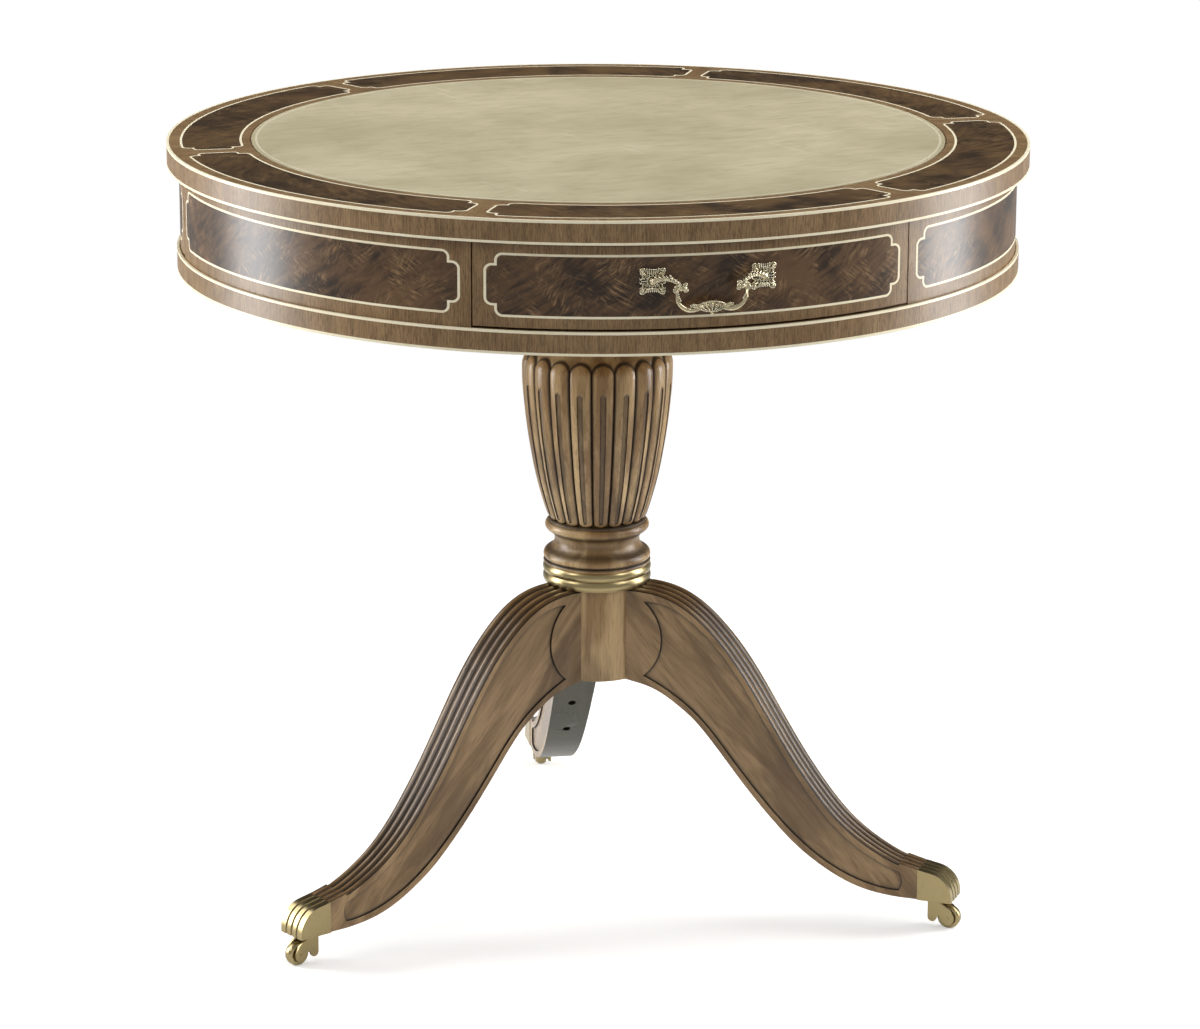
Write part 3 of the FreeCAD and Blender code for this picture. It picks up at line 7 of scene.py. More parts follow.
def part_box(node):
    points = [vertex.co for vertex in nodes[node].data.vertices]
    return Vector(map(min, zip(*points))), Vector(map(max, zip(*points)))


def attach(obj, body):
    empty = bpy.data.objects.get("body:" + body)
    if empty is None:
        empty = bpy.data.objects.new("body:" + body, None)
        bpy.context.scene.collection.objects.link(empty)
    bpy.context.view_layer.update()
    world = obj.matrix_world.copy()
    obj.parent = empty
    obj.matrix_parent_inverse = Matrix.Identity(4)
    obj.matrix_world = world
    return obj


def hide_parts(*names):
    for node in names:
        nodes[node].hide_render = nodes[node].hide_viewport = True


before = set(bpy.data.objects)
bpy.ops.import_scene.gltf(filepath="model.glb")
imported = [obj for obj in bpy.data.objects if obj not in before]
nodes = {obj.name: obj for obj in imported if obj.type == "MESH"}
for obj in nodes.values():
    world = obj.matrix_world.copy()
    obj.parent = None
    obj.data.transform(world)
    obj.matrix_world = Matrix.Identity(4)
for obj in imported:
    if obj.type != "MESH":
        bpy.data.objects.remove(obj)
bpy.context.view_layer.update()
scene = bpy.context.scene
print("frame loaded:", len(nodes), "nodes")


def tone(red, green, blue):
    # a colour as the eye sees it, 0 to 255, turned into the shader's own scale
    shades = [c / 255 for c in (red, green, blue)]
    return tuple(c / 12.92 if c < 0.04045 else ((c + 0.055) / 1.055) ** 2.4 for c in shades) + (1.0,)


class Link:
    # a socket that can stand in a sum
    def __init__(self, graph, socket):
        self.graph, self.socket = graph, socket

    def maths(self, operation, *others):
        return self.graph.maths(operation, self, *others)

    def __add__(self, other):
        return self.maths("ADD", other)

    def __sub__(self, other):
        return self.maths("SUBTRACT", other)

    def __mul__(self, other):
        return self.maths("MULTIPLY", other)

    def __truediv__(self, other):
        return self.maths("DIVIDE", other)

    def __rsub__(self, other):
        return self.graph.maths("SUBTRACT", other, self)

    def __rtruediv__(self, other):
        return self.graph.maths("DIVIDE", other, self)

    def __abs__(self):
        return self.maths("ABSOLUTE")

    __radd__ = __add__
    __rmul__ = __mul__

    def root(self):
        return self.maths("SQRT")

    def atLeast(self, other):
        return self.maths("MAXIMUM", other)

    def atMost(self, other):
        return self.maths("MINIMUM", other)


class Graph:
    # one node tree, for a material, the world or a modifier
    def __init__(self, tree):
        self.tree = tree

    def add(self, kind, settings=None, sockets=None, out=0):
        node = self.tree.nodes.new(kind)
        for key, value in (settings or {}).items():
            if key == "curve":
                fillCurve(node.mapping.curves[0], value)
                node.mapping.update()
            else:
                setattr(node, key, value)
        for key, value in (sockets or {}).items():
            if isinstance(value, Link):
                self.tree.links.new(value.socket, node.inputs[key])
            else:
                node.inputs[key].default_value = value
        return Link(self, node.outputs[out])

    def maths(self, operation, *values):
        return self.add("ShaderNodeMath", {"operation": operation}, dict(enumerate(values)))

    def vector(self, x, y, z):
        return self.add("ShaderNodeCombineXYZ", None, {0: x, 1: y, 2: z})

    def split(self, place):
        return [self.add("ShaderNodeSeparateXYZ", None, {0: place}, out) for out in range(3)]

    def turned(self, place, turn):
        return self.add("ShaderNodeMapping", {"vector_type": "POINT"}, {"Vector": place, "Rotation": turn})

    def fromAxis(self, x, y):
        # never quite nothing, so that it can divide
        return (x * x + y * y + 0.0001).root()

    def noise(self, place, scale, detail=2.0, rough=0.5, twist=0.0):
        return self.add("ShaderNodeTexNoise", None, {
            "Vector": place, "Scale": scale, "Detail": detail, "Roughness": rough, "Distortion": twist,
        })

    def grain(self, place, stretch, detail=2.0, rough=0.5, twist=0.0):
        # noise that is drawn out where its stretch is least
        drawn = self.add("ShaderNodeVectorMath", {"operation": "MULTIPLY"}, {0: place, 1: stretch})
        return self.noise(drawn, 1.0, detail, rough, twist)

    def spread(self, value, low, high, first=0.0, last=1.0):
        sockets = {0: value, 1: low, 2: high, 3: first, 4: last}
        return self.add("ShaderNodeMapRange", {"interpolation_type": "SMOOTHSTEP"}, sockets)

    def mix(self, mask, first, second):
        return self.add("ShaderNodeMix", {"data_type": "RGBA"}, {0: mask, 6: first, 7: second}, 2)

    def touch(self, colour, value, shade, low, high, depth=1.0):
        # the shade begins to show at the low value and is at its full depth at the high one
        return self.mix(self.spread(value, low, high) * depth, colour, tone(*shade))

    def hollows(self, reach, low, high):
        # 1 deep in a crevice and 0 on open ground
        settings = {"only_local": True, "samples": 8}
        near = self.add("ShaderNodeAmbientOcclusion", settings, {"Distance": reach}, 1)
        return 1 - self.spread(near, low, high)


def fillCurve(curve, points):
    while len(curve.points) < len(points):
        curve.points.new(1, 1)
    for point, (x, y) in zip(curve.points, points):
        point.location = (x, y)
        point.handle_type = "AUTO_CLAMPED"


def surface(graph, colour, bump, finish, rough=None):
    # fixed values go straight on the shader's own sockets
    shader = graph.tree.nodes["Principled BSDF"]
    links = graph.tree.links
    links.new(colour.socket, shader.inputs["Base Color"])
    shader.inputs["Roughness"].default_value = finish["rough"]
    if rough is not None:
        links.new(rough.socket, shader.inputs["Roughness"])
    shader.inputs["Metallic"].default_value = finish.get("metal", 0.0)
    shader.inputs["Specular IOR Level"].default_value = finish.get("gloss", 0.5)
    sockets = {"Strength": 1.0, "Distance": finish["relief"], "Height": bump}
    links.new(graph.add("ShaderNodeBump", None, sockets).socket, shader.inputs["Normal"])
    return graph.material


def begin(name):
    material = bpy.data.materials.new(name)
    material.use_nodes = True
    graph = Graph(material.node_tree)
    graph.material = material
    return graph, graph.add("ShaderNodeTexCoord", None, None, "Object")


# In each finish a pattern is its scale or stretch, its detail, its roughness and its twist. A mark is
# the value of the pattern where a shade begins, the value where it is full, and how deep it then is.

# Crossbanding: the grain stands upright on the edges and runs outwards on the top.
# Its fleck, comb and leaf begin with their width and length instead.
crossband = {
    "base": (134, 104, 68), "pale": (162, 131, 91), "dark": (60, 43, 26), "edgeRadius": 0.41,
    "fleck": (0.0006, 0.0065, 2.0, 0.6), "comb": (0.0011, 0.03, 3.0, 0.65),
    "leaf": (0.012, 0.0325, 2.0, 0.5), "cloud": (9.0, 3.0), "leafShare": 0.6,
    "paleMark": (0.3, 0.7), "combMark": (0.42, 0.68, 0.45), "fleckMark": (0.47, 0.66, 0.55),
    "rough": 0.33, "gloss": 0.5, "relief": 0.00012,
}


def crossbandFinish():
    graph, place = begin("crossband")
    x, y, z = graph.split(place)
    radius = graph.fromAxis(x, y)

    def upright(width, length, detail, rough):
        wide = crossband["edgeRadius"] / width
        flat = graph.vector(x / radius * wide, y / radius * wide, (radius + z) * (1 / length))
        return graph.noise(flat, 1.0, detail, rough)

    fleck = upright(*crossband["fleck"])
    comb = upright(*crossband["comb"])
    share = crossband["leafShare"]
    level = upright(*crossband["leaf"]) * share + graph.noise(place, *crossband["cloud"]) * (1 - share)
    colour = graph.touch(tone(*crossband["base"]), level, crossband["pale"], *crossband["paleMark"])
    colour = graph.touch(colour, comb, crossband["dark"], *crossband["combMark"])
    colour = graph.touch(colour, fleck, crossband["dark"], *crossband["fleckMark"])
    return surface(graph, colour, fleck * -1.0, crossband)


# Figured veneer: short pale strokes lie in clusters over dark clouds, each cluster leaning its own way.
# Bands and strokes begin with their length, their width and their twist.
flame = {
    "dark": (42, 28, 16), "base": (106, 78, 50), "pale": (168, 134, 94),
    "topDark": (50, 35, 18), "topBase": (106, 80, 48), "topFrom": (0.747, 0.7485),
    "leaves": 6, "leafWidth": 0.43, "bendScale": 13.65, "bendU": 0.012, "bendV": 0.02, "fibre": (2.5, 0.6),
    "cloud": (10.5, 3.0, 0.55, 0.9), "cloudShare": 0.6, "bands": (0.035, 0.007, 0.8),
    "levelMark": (0.37, 0.64),
    "leans": (34.0, -30.0, 68.0), "strokes": (0.013, 0.0016, 0.4), "strokeRelief": 0.5,
    "cluster": (23.1, 3.0, 0.65, 0.6), "clusterMark": (0.49, 0.7),
    "paleMark": (0.46, 0.74), "paleDepth": 0.85, "topDepth": 0.5, "darkMark": (0.47, 0.3), "darkDepth": 0.45,
    "fine": (700, 90), "fineMark": (0.55, 0.75, 0.3), "rough": 0.3, "gloss": 0.5, "relief": 0.00002,
}


def flameFinish():
    graph, place = begin("flame_veneer")
    x, y, z = graph.split(place)
    # the leaves lie round the table: u runs along each of them, v outwards and up, and each number
    # that the leaf is multiplied by takes another slice of the noise
    turn = x.maths("ARCTAN2", y * -1) / (2 * math.pi / flame["leaves"]) + (flame["leaves"] + 0.5)
    leaf = turn.maths("FLOOR").maths("MODULO", flame["leaves"])
    u = (turn.maths("FRACT") - 0.5) * flame["leafWidth"]
    v = graph.fromAxis(x, y) + z
    flat = graph.vector(u, v, leaf * 3.7)
    cloud = graph.noise(flat, *flame["cloud"])
    # the strokes bend a little round each cloud
    u = u + (cloud - 0.5) * flame["bendU"]
    v = v + (graph.noise(flat, flame["bendScale"], 1.0) - 0.5) * flame["bendV"]

    def fibre(lean, length, width, twist):
        lean = math.radians(lean)
        along = u * math.cos(lean) + v * math.sin(lean)
        across = v * math.cos(lean) - u * math.sin(lean)
        grain = graph.vector(along / length, across / width, leaf * 5.3 + lean)
        return graph.noise(grain, 1.0, *flame["fibre"], twist)

    bands = fibre(flame["leans"][0], *flame["bands"])
    share = flame["cloudShare"]
    level = graph.spread(cloud * share + bands * (1 - share), *flame["levelMark"])
    onTop = graph.spread(z, *flame["topFrom"])
    low = graph.mix(onTop, tone(*flame["dark"]), tone(*flame["topDark"]))
    high = graph.mix(onTop, tone(*flame["base"]), tone(*flame["topBase"]))
    colour = graph.mix(level, low, high)
    paleDepth = flame["paleDepth"] - onTop * (flame["paleDepth"] - flame["topDepth"])
    height = bands
    for number, lean in enumerate(flame["leans"]):
        stroke = fibre(lean, *flame["strokes"])
        spot = graph.vector(u, v, leaf * 2.9 + number * 7.3)
        cluster = graph.spread(graph.noise(spot, *flame["cluster"]), *flame["clusterMark"])
        colour = graph.touch(colour, stroke, flame["pale"], *flame["paleMark"], cluster * paleDepth)
        colour = graph.touch(colour, stroke, flame["dark"], *flame["darkMark"], cluster * flame["darkDepth"])
        height = height + stroke * cluster * flame["strokeRelief"]
    fine = graph.noise(graph.vector(u * flame["fine"][0], v * flame["fine"][1], leaf), 1.0)
    colour = graph.touch(colour, fine, flame["dark"], *flame["fineMark"])
    return surface(graph, colour, height, flame)


# Solid walnut, its grain upright, with dark glaze and painted shade in the hollows.
# A hollow is its reach and the two openings between which the glaze and painted shade fade.
walnut = {
    "turned": ((150, 118, 76), (194, 164, 118)), "sawn": ((120, 94, 60), (160, 131, 92)),
    "dark": (84, 61, 38), "glaze": (26, 20, 13), "under": (44, 50, 35), "topShade": (58, 40, 26),
    "pore": ((1111.1, 1111.1, 50.0), 2.5, 0.6), "poreMark": (0.5, 0.74, 0.55),
    "figure": ((38, 38, 6), 4.0, 0.6, 0.8), "figureMark": (0.38, 0.62),
    "cloud": ((24, 24, 9), 3.0, 0.6, 0.4), "cloudMark": (0.46, 0.68, 0.6),
    "turnedHollow": (0.006, 0.6, 0.97), "sawnHollow": (0.008, 0.72, 0.985),
    "wideHollow": (0.022, 0.45, 0.92), "wideDepth": 0.7, "glazeAndShadeDepth": 0.94, "glazeRough": 0.2,
    "rough": 0.27, "gloss": 0.5, "relief": 0.0001,
}

# A leg's grain leans with it. Its upward faces get painted shade, less on the crowns of its reeds, where the
# grooves between the reeds get glaze and painted shade, and its downward faces are greyer and darker. Root
# and foot are a radius and the leg's width there.
leg = {
    "azimuths": {"left": -64.6, "right": 55.4, "rear": 175.4}, "grainLean": 42.0,
    "root": (0.0395, 0.047), "foot": (0.3455, 0.033), "reeds": 4, "groove": (0.03, 0.2),
    "crown": (0.3, 0.46), "crownDepth": 0.55, "above": (0.1, 0.35), "topShadeDepth": 0.7,
    "underMark": (-0.12, -0.4, 0.92),
}


def reedCells(out, aside):
    # how far a place on the leg's back is from the middle of its groove, 0.5 on the crown of a reed
    share = (out - leg["root"][0]) / (leg["foot"][0] - leg["root"][0])
    half = (leg["root"][1] + share * (leg["foot"][1] - leg["root"][1])) * 0.5
    cell = ((aside / half + 1) * (leg["reeds"] * 0.5) + 0.5).maths("FRACT")
    return abs(cell - 0.5)


def walnutFinish(name, azimuth=None):
    graph, place = begin(name)
    sawn = azimuth is not None
    turn = math.radians(90 - azimuth) if sawn else 0.0
    lean = math.radians(leg["grainLean"]) if sawn else 0.0
    level = graph.turned(place, (0, 0, turn))
    grain = graph.turned(level, (0, lean, 0))
    pore = graph.grain(grain, *walnut["pore"])
    figure = graph.grain(grain, *walnut["figure"])
    cloud = graph.grain(grain, *walnut["cloud"])
    low, high = walnut["sawn" if sawn else "turned"]
    colour = graph.touch(tone(*low), figure, high, *walnut["figureMark"])
    colour = graph.touch(colour, cloud, walnut["dark"], *walnut["cloudMark"])
    colour = graph.touch(colour, pore, walnut["dark"], *walnut["poreMark"])
    # dark glaze and painted shade in the crevices and the wide hollows, and where the mesh carries its own
    # attribute for them
    hollow = graph.hollows(*walnut["sawnHollow" if sawn else "turnedHollow"])
    hollow = hollow.atLeast(graph.hollows(*walnut["wideHollow"]) * walnut["wideDepth"])
    hollow = hollow.atLeast(graph.add("ShaderNodeAttribute", {"attribute_name": "glaze"}, None, "Fac"))
    if sawn:
        upward = graph.split(graph.add("ShaderNodeNewGeometry", None, None, "Normal"))[2]
        # downward faces are made greyer and darker
        colour = graph.touch(colour, upward, walnut["under"], *leg["underMark"])
        # upward faces get painted shade, less on the crowns of the reeds, and their grooves get glaze and
        # painted shade
        above = graph.spread(upward, *leg["above"])
        cell = reedCells(*graph.split(level)[:2])
        groove = 1 - graph.spread(cell, *leg["groove"])
        crown = graph.spread(cell, *leg["crown"])
        topShade = above * (1 - crown * leg["crownDepth"]) * leg["topShadeDepth"]
        colour = graph.mix(topShade, colour, tone(*walnut["topShade"]))
        hollow = hollow.atLeast(groove * above)
    # the dark glaze and painted shade laid over the colour
    colour = graph.mix(hollow * walnut["glazeAndShadeDepth"], colour, tone(*walnut["glaze"]))
    return surface(graph, colour, pore * -1.0, walnut, walnut["rough"] + hollow * walnut["glazeRough"])


# Pale stringing
stringing = {
    "base": (253, 243, 212), "dark": (226, 208, 168), "speck": (900.0, 2.0), "cloud": (40.0, 2.0),
    "speckMark": (0.5, 0.75), "cloudMark": (0.5, 0.8), "speckDepth": 0.5, "cloudDepth": 0.3,
    "rough": 0.3, "gloss": 0.35, "relief": 0.00005,
}


def stringingFinish():
    graph, place = begin("stringing")
    speck = graph.noise(place, *stringing["speck"])
    cloud = graph.noise(place, *stringing["cloud"])
    specks = graph.spread(speck, *stringing["speckMark"]) * stringing["speckDepth"]
    clouds = graph.spread(cloud, *stringing["cloudMark"]) * stringing["cloudDepth"]
    colour = graph.mix(specks + clouds, tone(*stringing["base"]), tone(*stringing["dark"]))
    return surface(graph, colour, speck, stringing)


# Aged leather let into the top, scratched here and there, with a blind tooled line inside its edge.
# Streak and crease begin with the two rows that slant them and with the slice of the noise they read.
leather = {
    "base": (167, 158, 128), "pale": (187, 178, 148), "dark": (146, 136, 106),
    "cloud": (7.0, 5.0, 0.6, 0.3), "cloudMark": (0.32, 0.7),
    "streak": (((26, 6), (-20, 90)), 0.0, 4.0, 0.6, 0.6), "streakMark": (0.42, 0.78, 0.42),
    "crease": (((60, 0), (0, 190)), 3.0, 3.0, 0.6, 1.5), "creaseMark": (0.62, 0.78, 0.4),
    "scratch": (212, 203, 176), "scratchLeans": (0.3, -0.5, 1.2), "scratchStretch": (9, 260),
    "scratchNoise": (1.0, 0.5, 0.3), "scratchMark": (0.7, 0.76), "scratchDepth": 0.5,
    "scratchedFrom": (0.4, 0.62), "pebbles": 700.0, "pebbleRelief": 0.5, "cloudRelief": 0.3,
    "line": (214, 205, 180), "lineRadius": 0.3325, "lineWidth": 0.0016, "lineDepth": 0.5, "lineRelief": 1.5,
    "rough": 0.72, "gloss": 0.15, "relief": 0.00012,
}


def leatherFinish():
    graph, place = begin("leather")
    x, y = graph.split(place)[:2]

    def slanted(slant, layer, *pattern):
        (xAlong, yAlong), (xAcross, yAcross) = slant
        drawn = graph.vector(x * xAlong + y * yAlong, x * xAcross + y * yAcross, layer)
        return graph.noise(drawn, 1.0, *pattern)

    cloud = graph.noise(place, *leather["cloud"])
    streak = slanted(*leather["streak"])
    crease = slanted(*leather["crease"])
    colour = graph.touch(tone(*leather["base"]), cloud, leather["pale"], *leather["cloudMark"])
    colour = graph.touch(colour, streak, leather["dark"], *leather["streakMark"])
    colour = graph.touch(colour, crease, leather["pale"], *leather["creaseMark"])
    scratched = graph.spread(cloud, *leather["scratchedFrom"]) * leather["scratchDepth"]
    along, across = leather["scratchStretch"]
    for number, lean in enumerate(leather["scratchLeans"]):
        cosine, sine = math.cos(lean), math.sin(lean)
        slant = ((along * cosine, -along * sine), (across * sine, across * cosine))
        scratch = slanted(slant, number * 4.7, *leather["scratchNoise"])
        colour = graph.touch(colour, scratch, leather["scratch"], *leather["scratchMark"], scratched)
    fromLine = abs(graph.fromAxis(x, y) - leather["lineRadius"])
    onLine = 1 - graph.spread(fromLine, leather["lineWidth"] * 0.5, leather["lineWidth"])
    colour = graph.mix(onLine * leather["lineDepth"], colour, tone(*leather["line"]))
    sockets = {"Vector": place, "Scale": leather["pebbles"]}
    pebbles = graph.add("ShaderNodeTexVoronoi", {"feature": "DISTANCE_TO_EDGE"}, sockets)
    height = graph.spread(pebbles, 0.0, 0.25) * leather["pebbleRelief"] + cloud * leather["cloudRelief"]
    height = height - onLine * leather["lineRelief"]
    return surface(graph, colour, height, leather)


# Satin brass, dull with tarnish in its hollows. Of the cast brass the ridges are rubbed bright and carry a
# painted highlight, and the folds and hollows are dark with tarnish and painted shade.
brass = {
    "base": (172, 156, 115), "dark": (58, 47, 28), "rough": 0.28, "metal": 1.0, "relief": 0.00003,
    "smear": (160.0, 4.0, 0.6), "smearMark": (0.5, 0.85, 0.14), "smearRough": (0.4, 0.8), "smearDepth": 0.05,
    "hollow": (0.004, 0.35, 0.95), "tarnishAndShadeDepth": 0.94, "dullRough": 0.25, "speck": (1500.0, 2.0),
}
castBrass = dict(brass, base=(222, 208, 170), dark=(26, 20, 11), rough=0.2, hollow=(0.002, 0.35, 0.9),
                 ridge=(255, 250, 232), ridgeMark=(0.51, 0.55), foldMark=(0.495, 0.465))


def brassFinish(name, metal):
    graph, place = begin(name)
    smear = graph.noise(place, *metal["smear"])
    hollow = graph.hollows(*metal["hollow"])
    colour = graph.touch(tone(*metal["base"]), smear, metal["dark"], *metal["smearMark"])
    if "ridge" in metal:
        # painted highlight on the ridges and painted shade in the folds, read from the mesh's pointiness
        bend = graph.add("ShaderNodeNewGeometry", None, None, "Pointiness")
        colour = graph.touch(colour, bend, metal["ridge"], *metal["ridgeMark"])
        hollow = hollow.atLeast(graph.spread(bend, *metal["foldMark"]))
    # the hollows darkened with tarnish, and on the cast brass with painted shade as well
    colour = graph.mix(hollow * metal["tarnishAndShadeDepth"], colour, tone(*metal["dark"]))
    smeared = graph.spread(smear, *metal["smearRough"]) * metal["smearDepth"]
    rough = metal["rough"] + hollow * metal["dullRough"] + smeared
    return surface(graph, colour, graph.noise(place, *metal["speck"]), metal, rough)


# Plain inner wood of drawers, guides and the bottom board
innerWood = {
    "base": (171, 141, 98), "dark": (134, 104, 66), "rough": 0.6, "gloss": 0.3, "relief": 0.0001,
    "ring": ((9, 80, 80), 4.0, 0.6, 0.8), "ringMark": (0.35, 0.7),
    "pore": ((60, 900, 900), 2.0), "poreMark": (0.5, 0.75, 0.4),
}


def innerWoodFinish():
    graph, place = begin("inner_wood")
    ring = graph.grain(place, *innerWood["ring"])
    pore = graph.grain(place, *innerWood["pore"])
    colour = graph.touch(tone(*innerWood["base"]), ring, innerWood["dark"], *innerWood["ringMark"])
    colour = graph.touch(colour, pore, innerWood["dark"], *innerWood["poreMark"])
    return surface(graph, colour, pore * -1.0, innerWood)


# Blackened steel of the hidden fixings
steel = {
    "base": (120, 118, 112), "dark": (64, 60, 54), "smear": (140.0, 4.0, 0.65), "smearMark": (0.35, 0.75),
    "rough": 0.42, "smearRough": (0.4, 0.8), "smearDepth": 0.2, "metal": 1.0, "relief": 0.00005,
}


def steelFinish():
    graph, place = begin("steel")
    smear = graph.noise(place, *steel["smear"])
    colour = graph.touch(tone(*steel["base"]), smear, steel["dark"], *steel["smearMark"])
    rough = steel["rough"] + graph.spread(smear, *steel["smearRough"]) * steel["smearDepth"]
    return surface(graph, colour, smear, steel, rough)


finishes = {
    "crossband": crossbandFinish(),
    "flame_veneer": flameFinish(),
    "walnut": walnutFinish("walnut"),
    "stringing": stringingFinish(),
    "leather": leatherFinish(),
    "brass": brassFinish("brass", brass),
    "brass_cast": brassFinish("brass_cast", castBrass),
    "inner_wood": innerWoodFinish(),
    "steel": steelFinish(),
}
for side, azimuth in leg["azimuths"].items():
    finishes["walnut_" + side] = walnutFinish("walnut_" + side, azimuth)
print("finishes made:", len(finishes))


def dress(node, finish):
    mesh = nodes[node].data
    mesh.materials.clear()
    mesh.materials.append(finishes[finish])


def settle(name, mesh, finish, body, replaced, sharp=32):
    # a finished mesh becomes a piece that rides on its body
    if finish:
        mesh.materials.clear()
        mesh.materials.append(finishes[finish])
    for polygon in mesh.polygons:
        polygon.use_smooth = True
    mesh.set_sharp_from_angle(angle=math.radians(sharp))
    piece = bpy.data.objects.new(name, mesh)
    scene.collection.objects.link(piece)
    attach(piece, body)
    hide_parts(*replaced)
    return piece


def merged(node):
    # a copy of the node's shape without its doubles
    form = bmesh.new()
    form.from_mesh(nodes[node].data)
    bmesh.ops.remove_doubles(form, verts=form.verts, dist=0.00001)
    return form


def kept(form, name):
    # the form as a mesh of its own
    mesh = bpy.data.meshes.new(name)
    form.to_mesh(mesh)
    form.free()
    return mesh


def soften(node, finish, body, slot, edge, angle):
    # the node's own shape takes its place, with its arrises eased
    form = merged(node)
    bmesh.ops.dissolve_limit(form, angle_limit=math.radians(0.5), verts=form.verts, edges=form.edges)
    piece = settle(node + "_eased", kept(form, node + "Eased"), finish, body, [node], angle)
    ease = piece.modifiers.new("ease", "BEVEL")
    ease.limit_method, ease.angle_limit = "ANGLE", math.radians(angle)
    ease.width, ease.segments, ease.harden_normals = edge, 2, True
    ease.use_clamp_overlap, ease.miter_outer = True, "MITER_ARC"


def bow(first, middle, last, count):
    # the round stretch through three places, without its first place
    (ax, ay), (bx, by), (cx, cy) = first, middle, last
    double = 2 * (ax * (by - cy) + bx * (cy - ay) + cx * (ay - by))
    aa, bb, cc = ax * ax + ay * ay, bx * bx + by * by, cx * cx + cy * cy
    ux = (aa * (by - cy) + bb * (cy - ay) + cc * (ay - by)) / double
    uy = (aa * (cx - bx) + bb * (ax - cx) + cc * (bx - ax)) / double
    reach = math.hypot(ax - ux, ay - uy)
    start = math.atan2(ay - uy, ax - ux)
    toMiddle = (math.atan2(by - uy, bx - ux) - start) % (2 * math.pi)
    toLast = (math.atan2(cy - uy, cx - ux) - start) % (2 * math.pi)
    if toMiddle > toLast:
        toLast -= 2 * math.pi
    turns = [start + toLast * i / count for i in range(1, count + 1)]
    return [(ux + reach * math.cos(t), uy + reach * math.sin(t)) for t in turns]


def lathe(name, profile, sides):
    # a closed turning from radius and height pairs, both ends on the axis
    form = bmesh.new()
    rings = []
    for radius, height in profile:
        if radius < 1e-6:
            rings.append([form.verts.new((0, 0, height))] * sides)
        else:
            turns = [2 * math.pi * i / sides for i in range(sides)]
            places = [(radius * math.cos(t), radius * math.sin(t), height) for t in turns]
            rings.append([form.verts.new(place) for place in places])
    for low, high in zip(rings, rings[1:]):
        for i in range(sides):
            j = (i + 1) % sides
            corners = []
            for vert in (low[i], low[j], high[j], high[i]):
                if vert not in corners:
                    corners.append(vert)
            form.faces.new(corners)
    bmesh.ops.recalc_face_normals(form, faces=form.faces)
    return kept(form, name)


def newTree(name, inputs):
    # an empty Geometry Nodes tree with a named input for each size
    group = bpy.data.node_groups.new(name, "GeometryNodeTree")
    group.interface.new_socket("Geometry", in_out="OUTPUT", socket_type="NodeSocketGeometry")
    for label, value in inputs.items():
        kind = "NodeSocketInt" if isinstance(value, int) else "NodeSocketFloat"
        group.interface.new_socket(label, in_out="INPUT", socket_type=kind)
    graph = Graph(group)
    entry = group.nodes.new("NodeGroupInput")
    return graph, {label: Link(graph, entry.outputs[label]) for label in inputs}


def grown(name, graph, geometry, inputs, finish):
    # runs the tree once and keeps the plain mesh that it makes
    real = graph.add("GeometryNodeRealizeInstances", None, {0: geometry})
    painted = graph.add("GeometryNodeSetMaterial", None, {"Geometry": real, "Material": finishes[finish]})
    leave = graph.tree.nodes.new("NodeGroupOutput")
    graph.tree.links.new(painted.socket, leave.inputs[0])
    carrier = bpy.data.objects.new(name + "Carrier", bpy.data.meshes.new(name + "Carrier"))
    scene.collection.objects.link(carrier)
    modifier = carrier.modifiers.new("grow", "NODES")
    modifier.node_group = graph.tree
    for socket in graph.tree.interface.items_tree:
        if socket.in_out == "INPUT":
            modifier[socket.identifier] = inputs[socket.name]
    ready = bpy.context.evaluated_depsgraph_get()
    mesh = bpy.data.meshes.new_from_object(carrier.evaluated_get(ready), depsgraph=ready)
    bpy.data.objects.remove(carrier)
    mesh.name = name
    return mesh


plain = {
    "crossband": ["lower_band", "top_board"],
    "flame_veneer": ["fixed_veneers", "top_veneers"],
    "stringing": ["edge_stringing", "fixed_stringing", "top_stringing"],
    "leather": ["leather_inset"],
    "brass": ["brass_collar"],
    "inner_wood": ["bottom_board", "drawer_guides"],
    "steel": ["leg_plate", "plate_screws", "leg_screws", "tie_rod", "tie_rod_nuts", "bearing_plate_lower",
              "bearing_plate_upper", "bearing_screws", "bearing_balls", "bearing_cage"],
}
for finish, group in plain.items():
    for node in group:
        dress(node, finish)
for drawer in ("front", "right", "left"):
    for part, finish in (("front", "crossband"), ("box", "inner_wood"), ("bottom", "inner_wood"),
                         ("veneer", "flame_veneer"), ("stringing", "stringing")):
        dress(f"drawer_{drawer}_{part}", finish)

# How wide each eased edge is, and how sharp an edge has to be, in degrees, to be eased
edges = {
    "leg_": (0.0005, 24), "cap_": (0.0006, 35), "caster_fork_": (0.0004, 35), "caster_axle_": (0.0003, 35),
    "caster_wheel_": (0.0003, 35), "leg_block": (0.0006, 30),
}
riding = {"caster_fork_": "caster_", "caster_axle_": "caster_", "caster_wheel_": "wheel_"}
for side in leg["azimuths"]:
    soften("leg_" + side, "walnut_" + side, "base", "walnut", *edges["leg_"])
    soften("cap_" + side, "brass", "base", "brass", *edges["cap_"])
    for part, body in riding.items():
        soften(part + side, "brass", body + side, "brass", *edges[part])
soften("leg_block", "walnut", "base", "walnut", *edges["leg_block"])
print("legs, caps and casters eased")


def smoothFixedFronts():
    # the false fronts' round faces get normals that point straight out from the table's axis
    mesh = kept(merged("fixed_fronts"), "fixedFrontsSmooth")
    settle("fixed_fronts_smooth", mesh, "crossband", "drum", ["fixed_fronts"])
    normals = []
    for polygon in mesh.polygons:
        outward = Vector((polygon.center.x, polygon.center.y, 0)).normalized().dot(polygon.normal)
        onRound = abs(outward) > 0.98
        for index in polygon.vertices:
            place = mesh.vertices[index].co
            radial = Vector((place.x, place.y, 0)).normalized() * (1 if outward > 0 else -1)
            normals.append(radial if onRound else polygon.normal)
    mesh.normals_split_custom_set(normals)


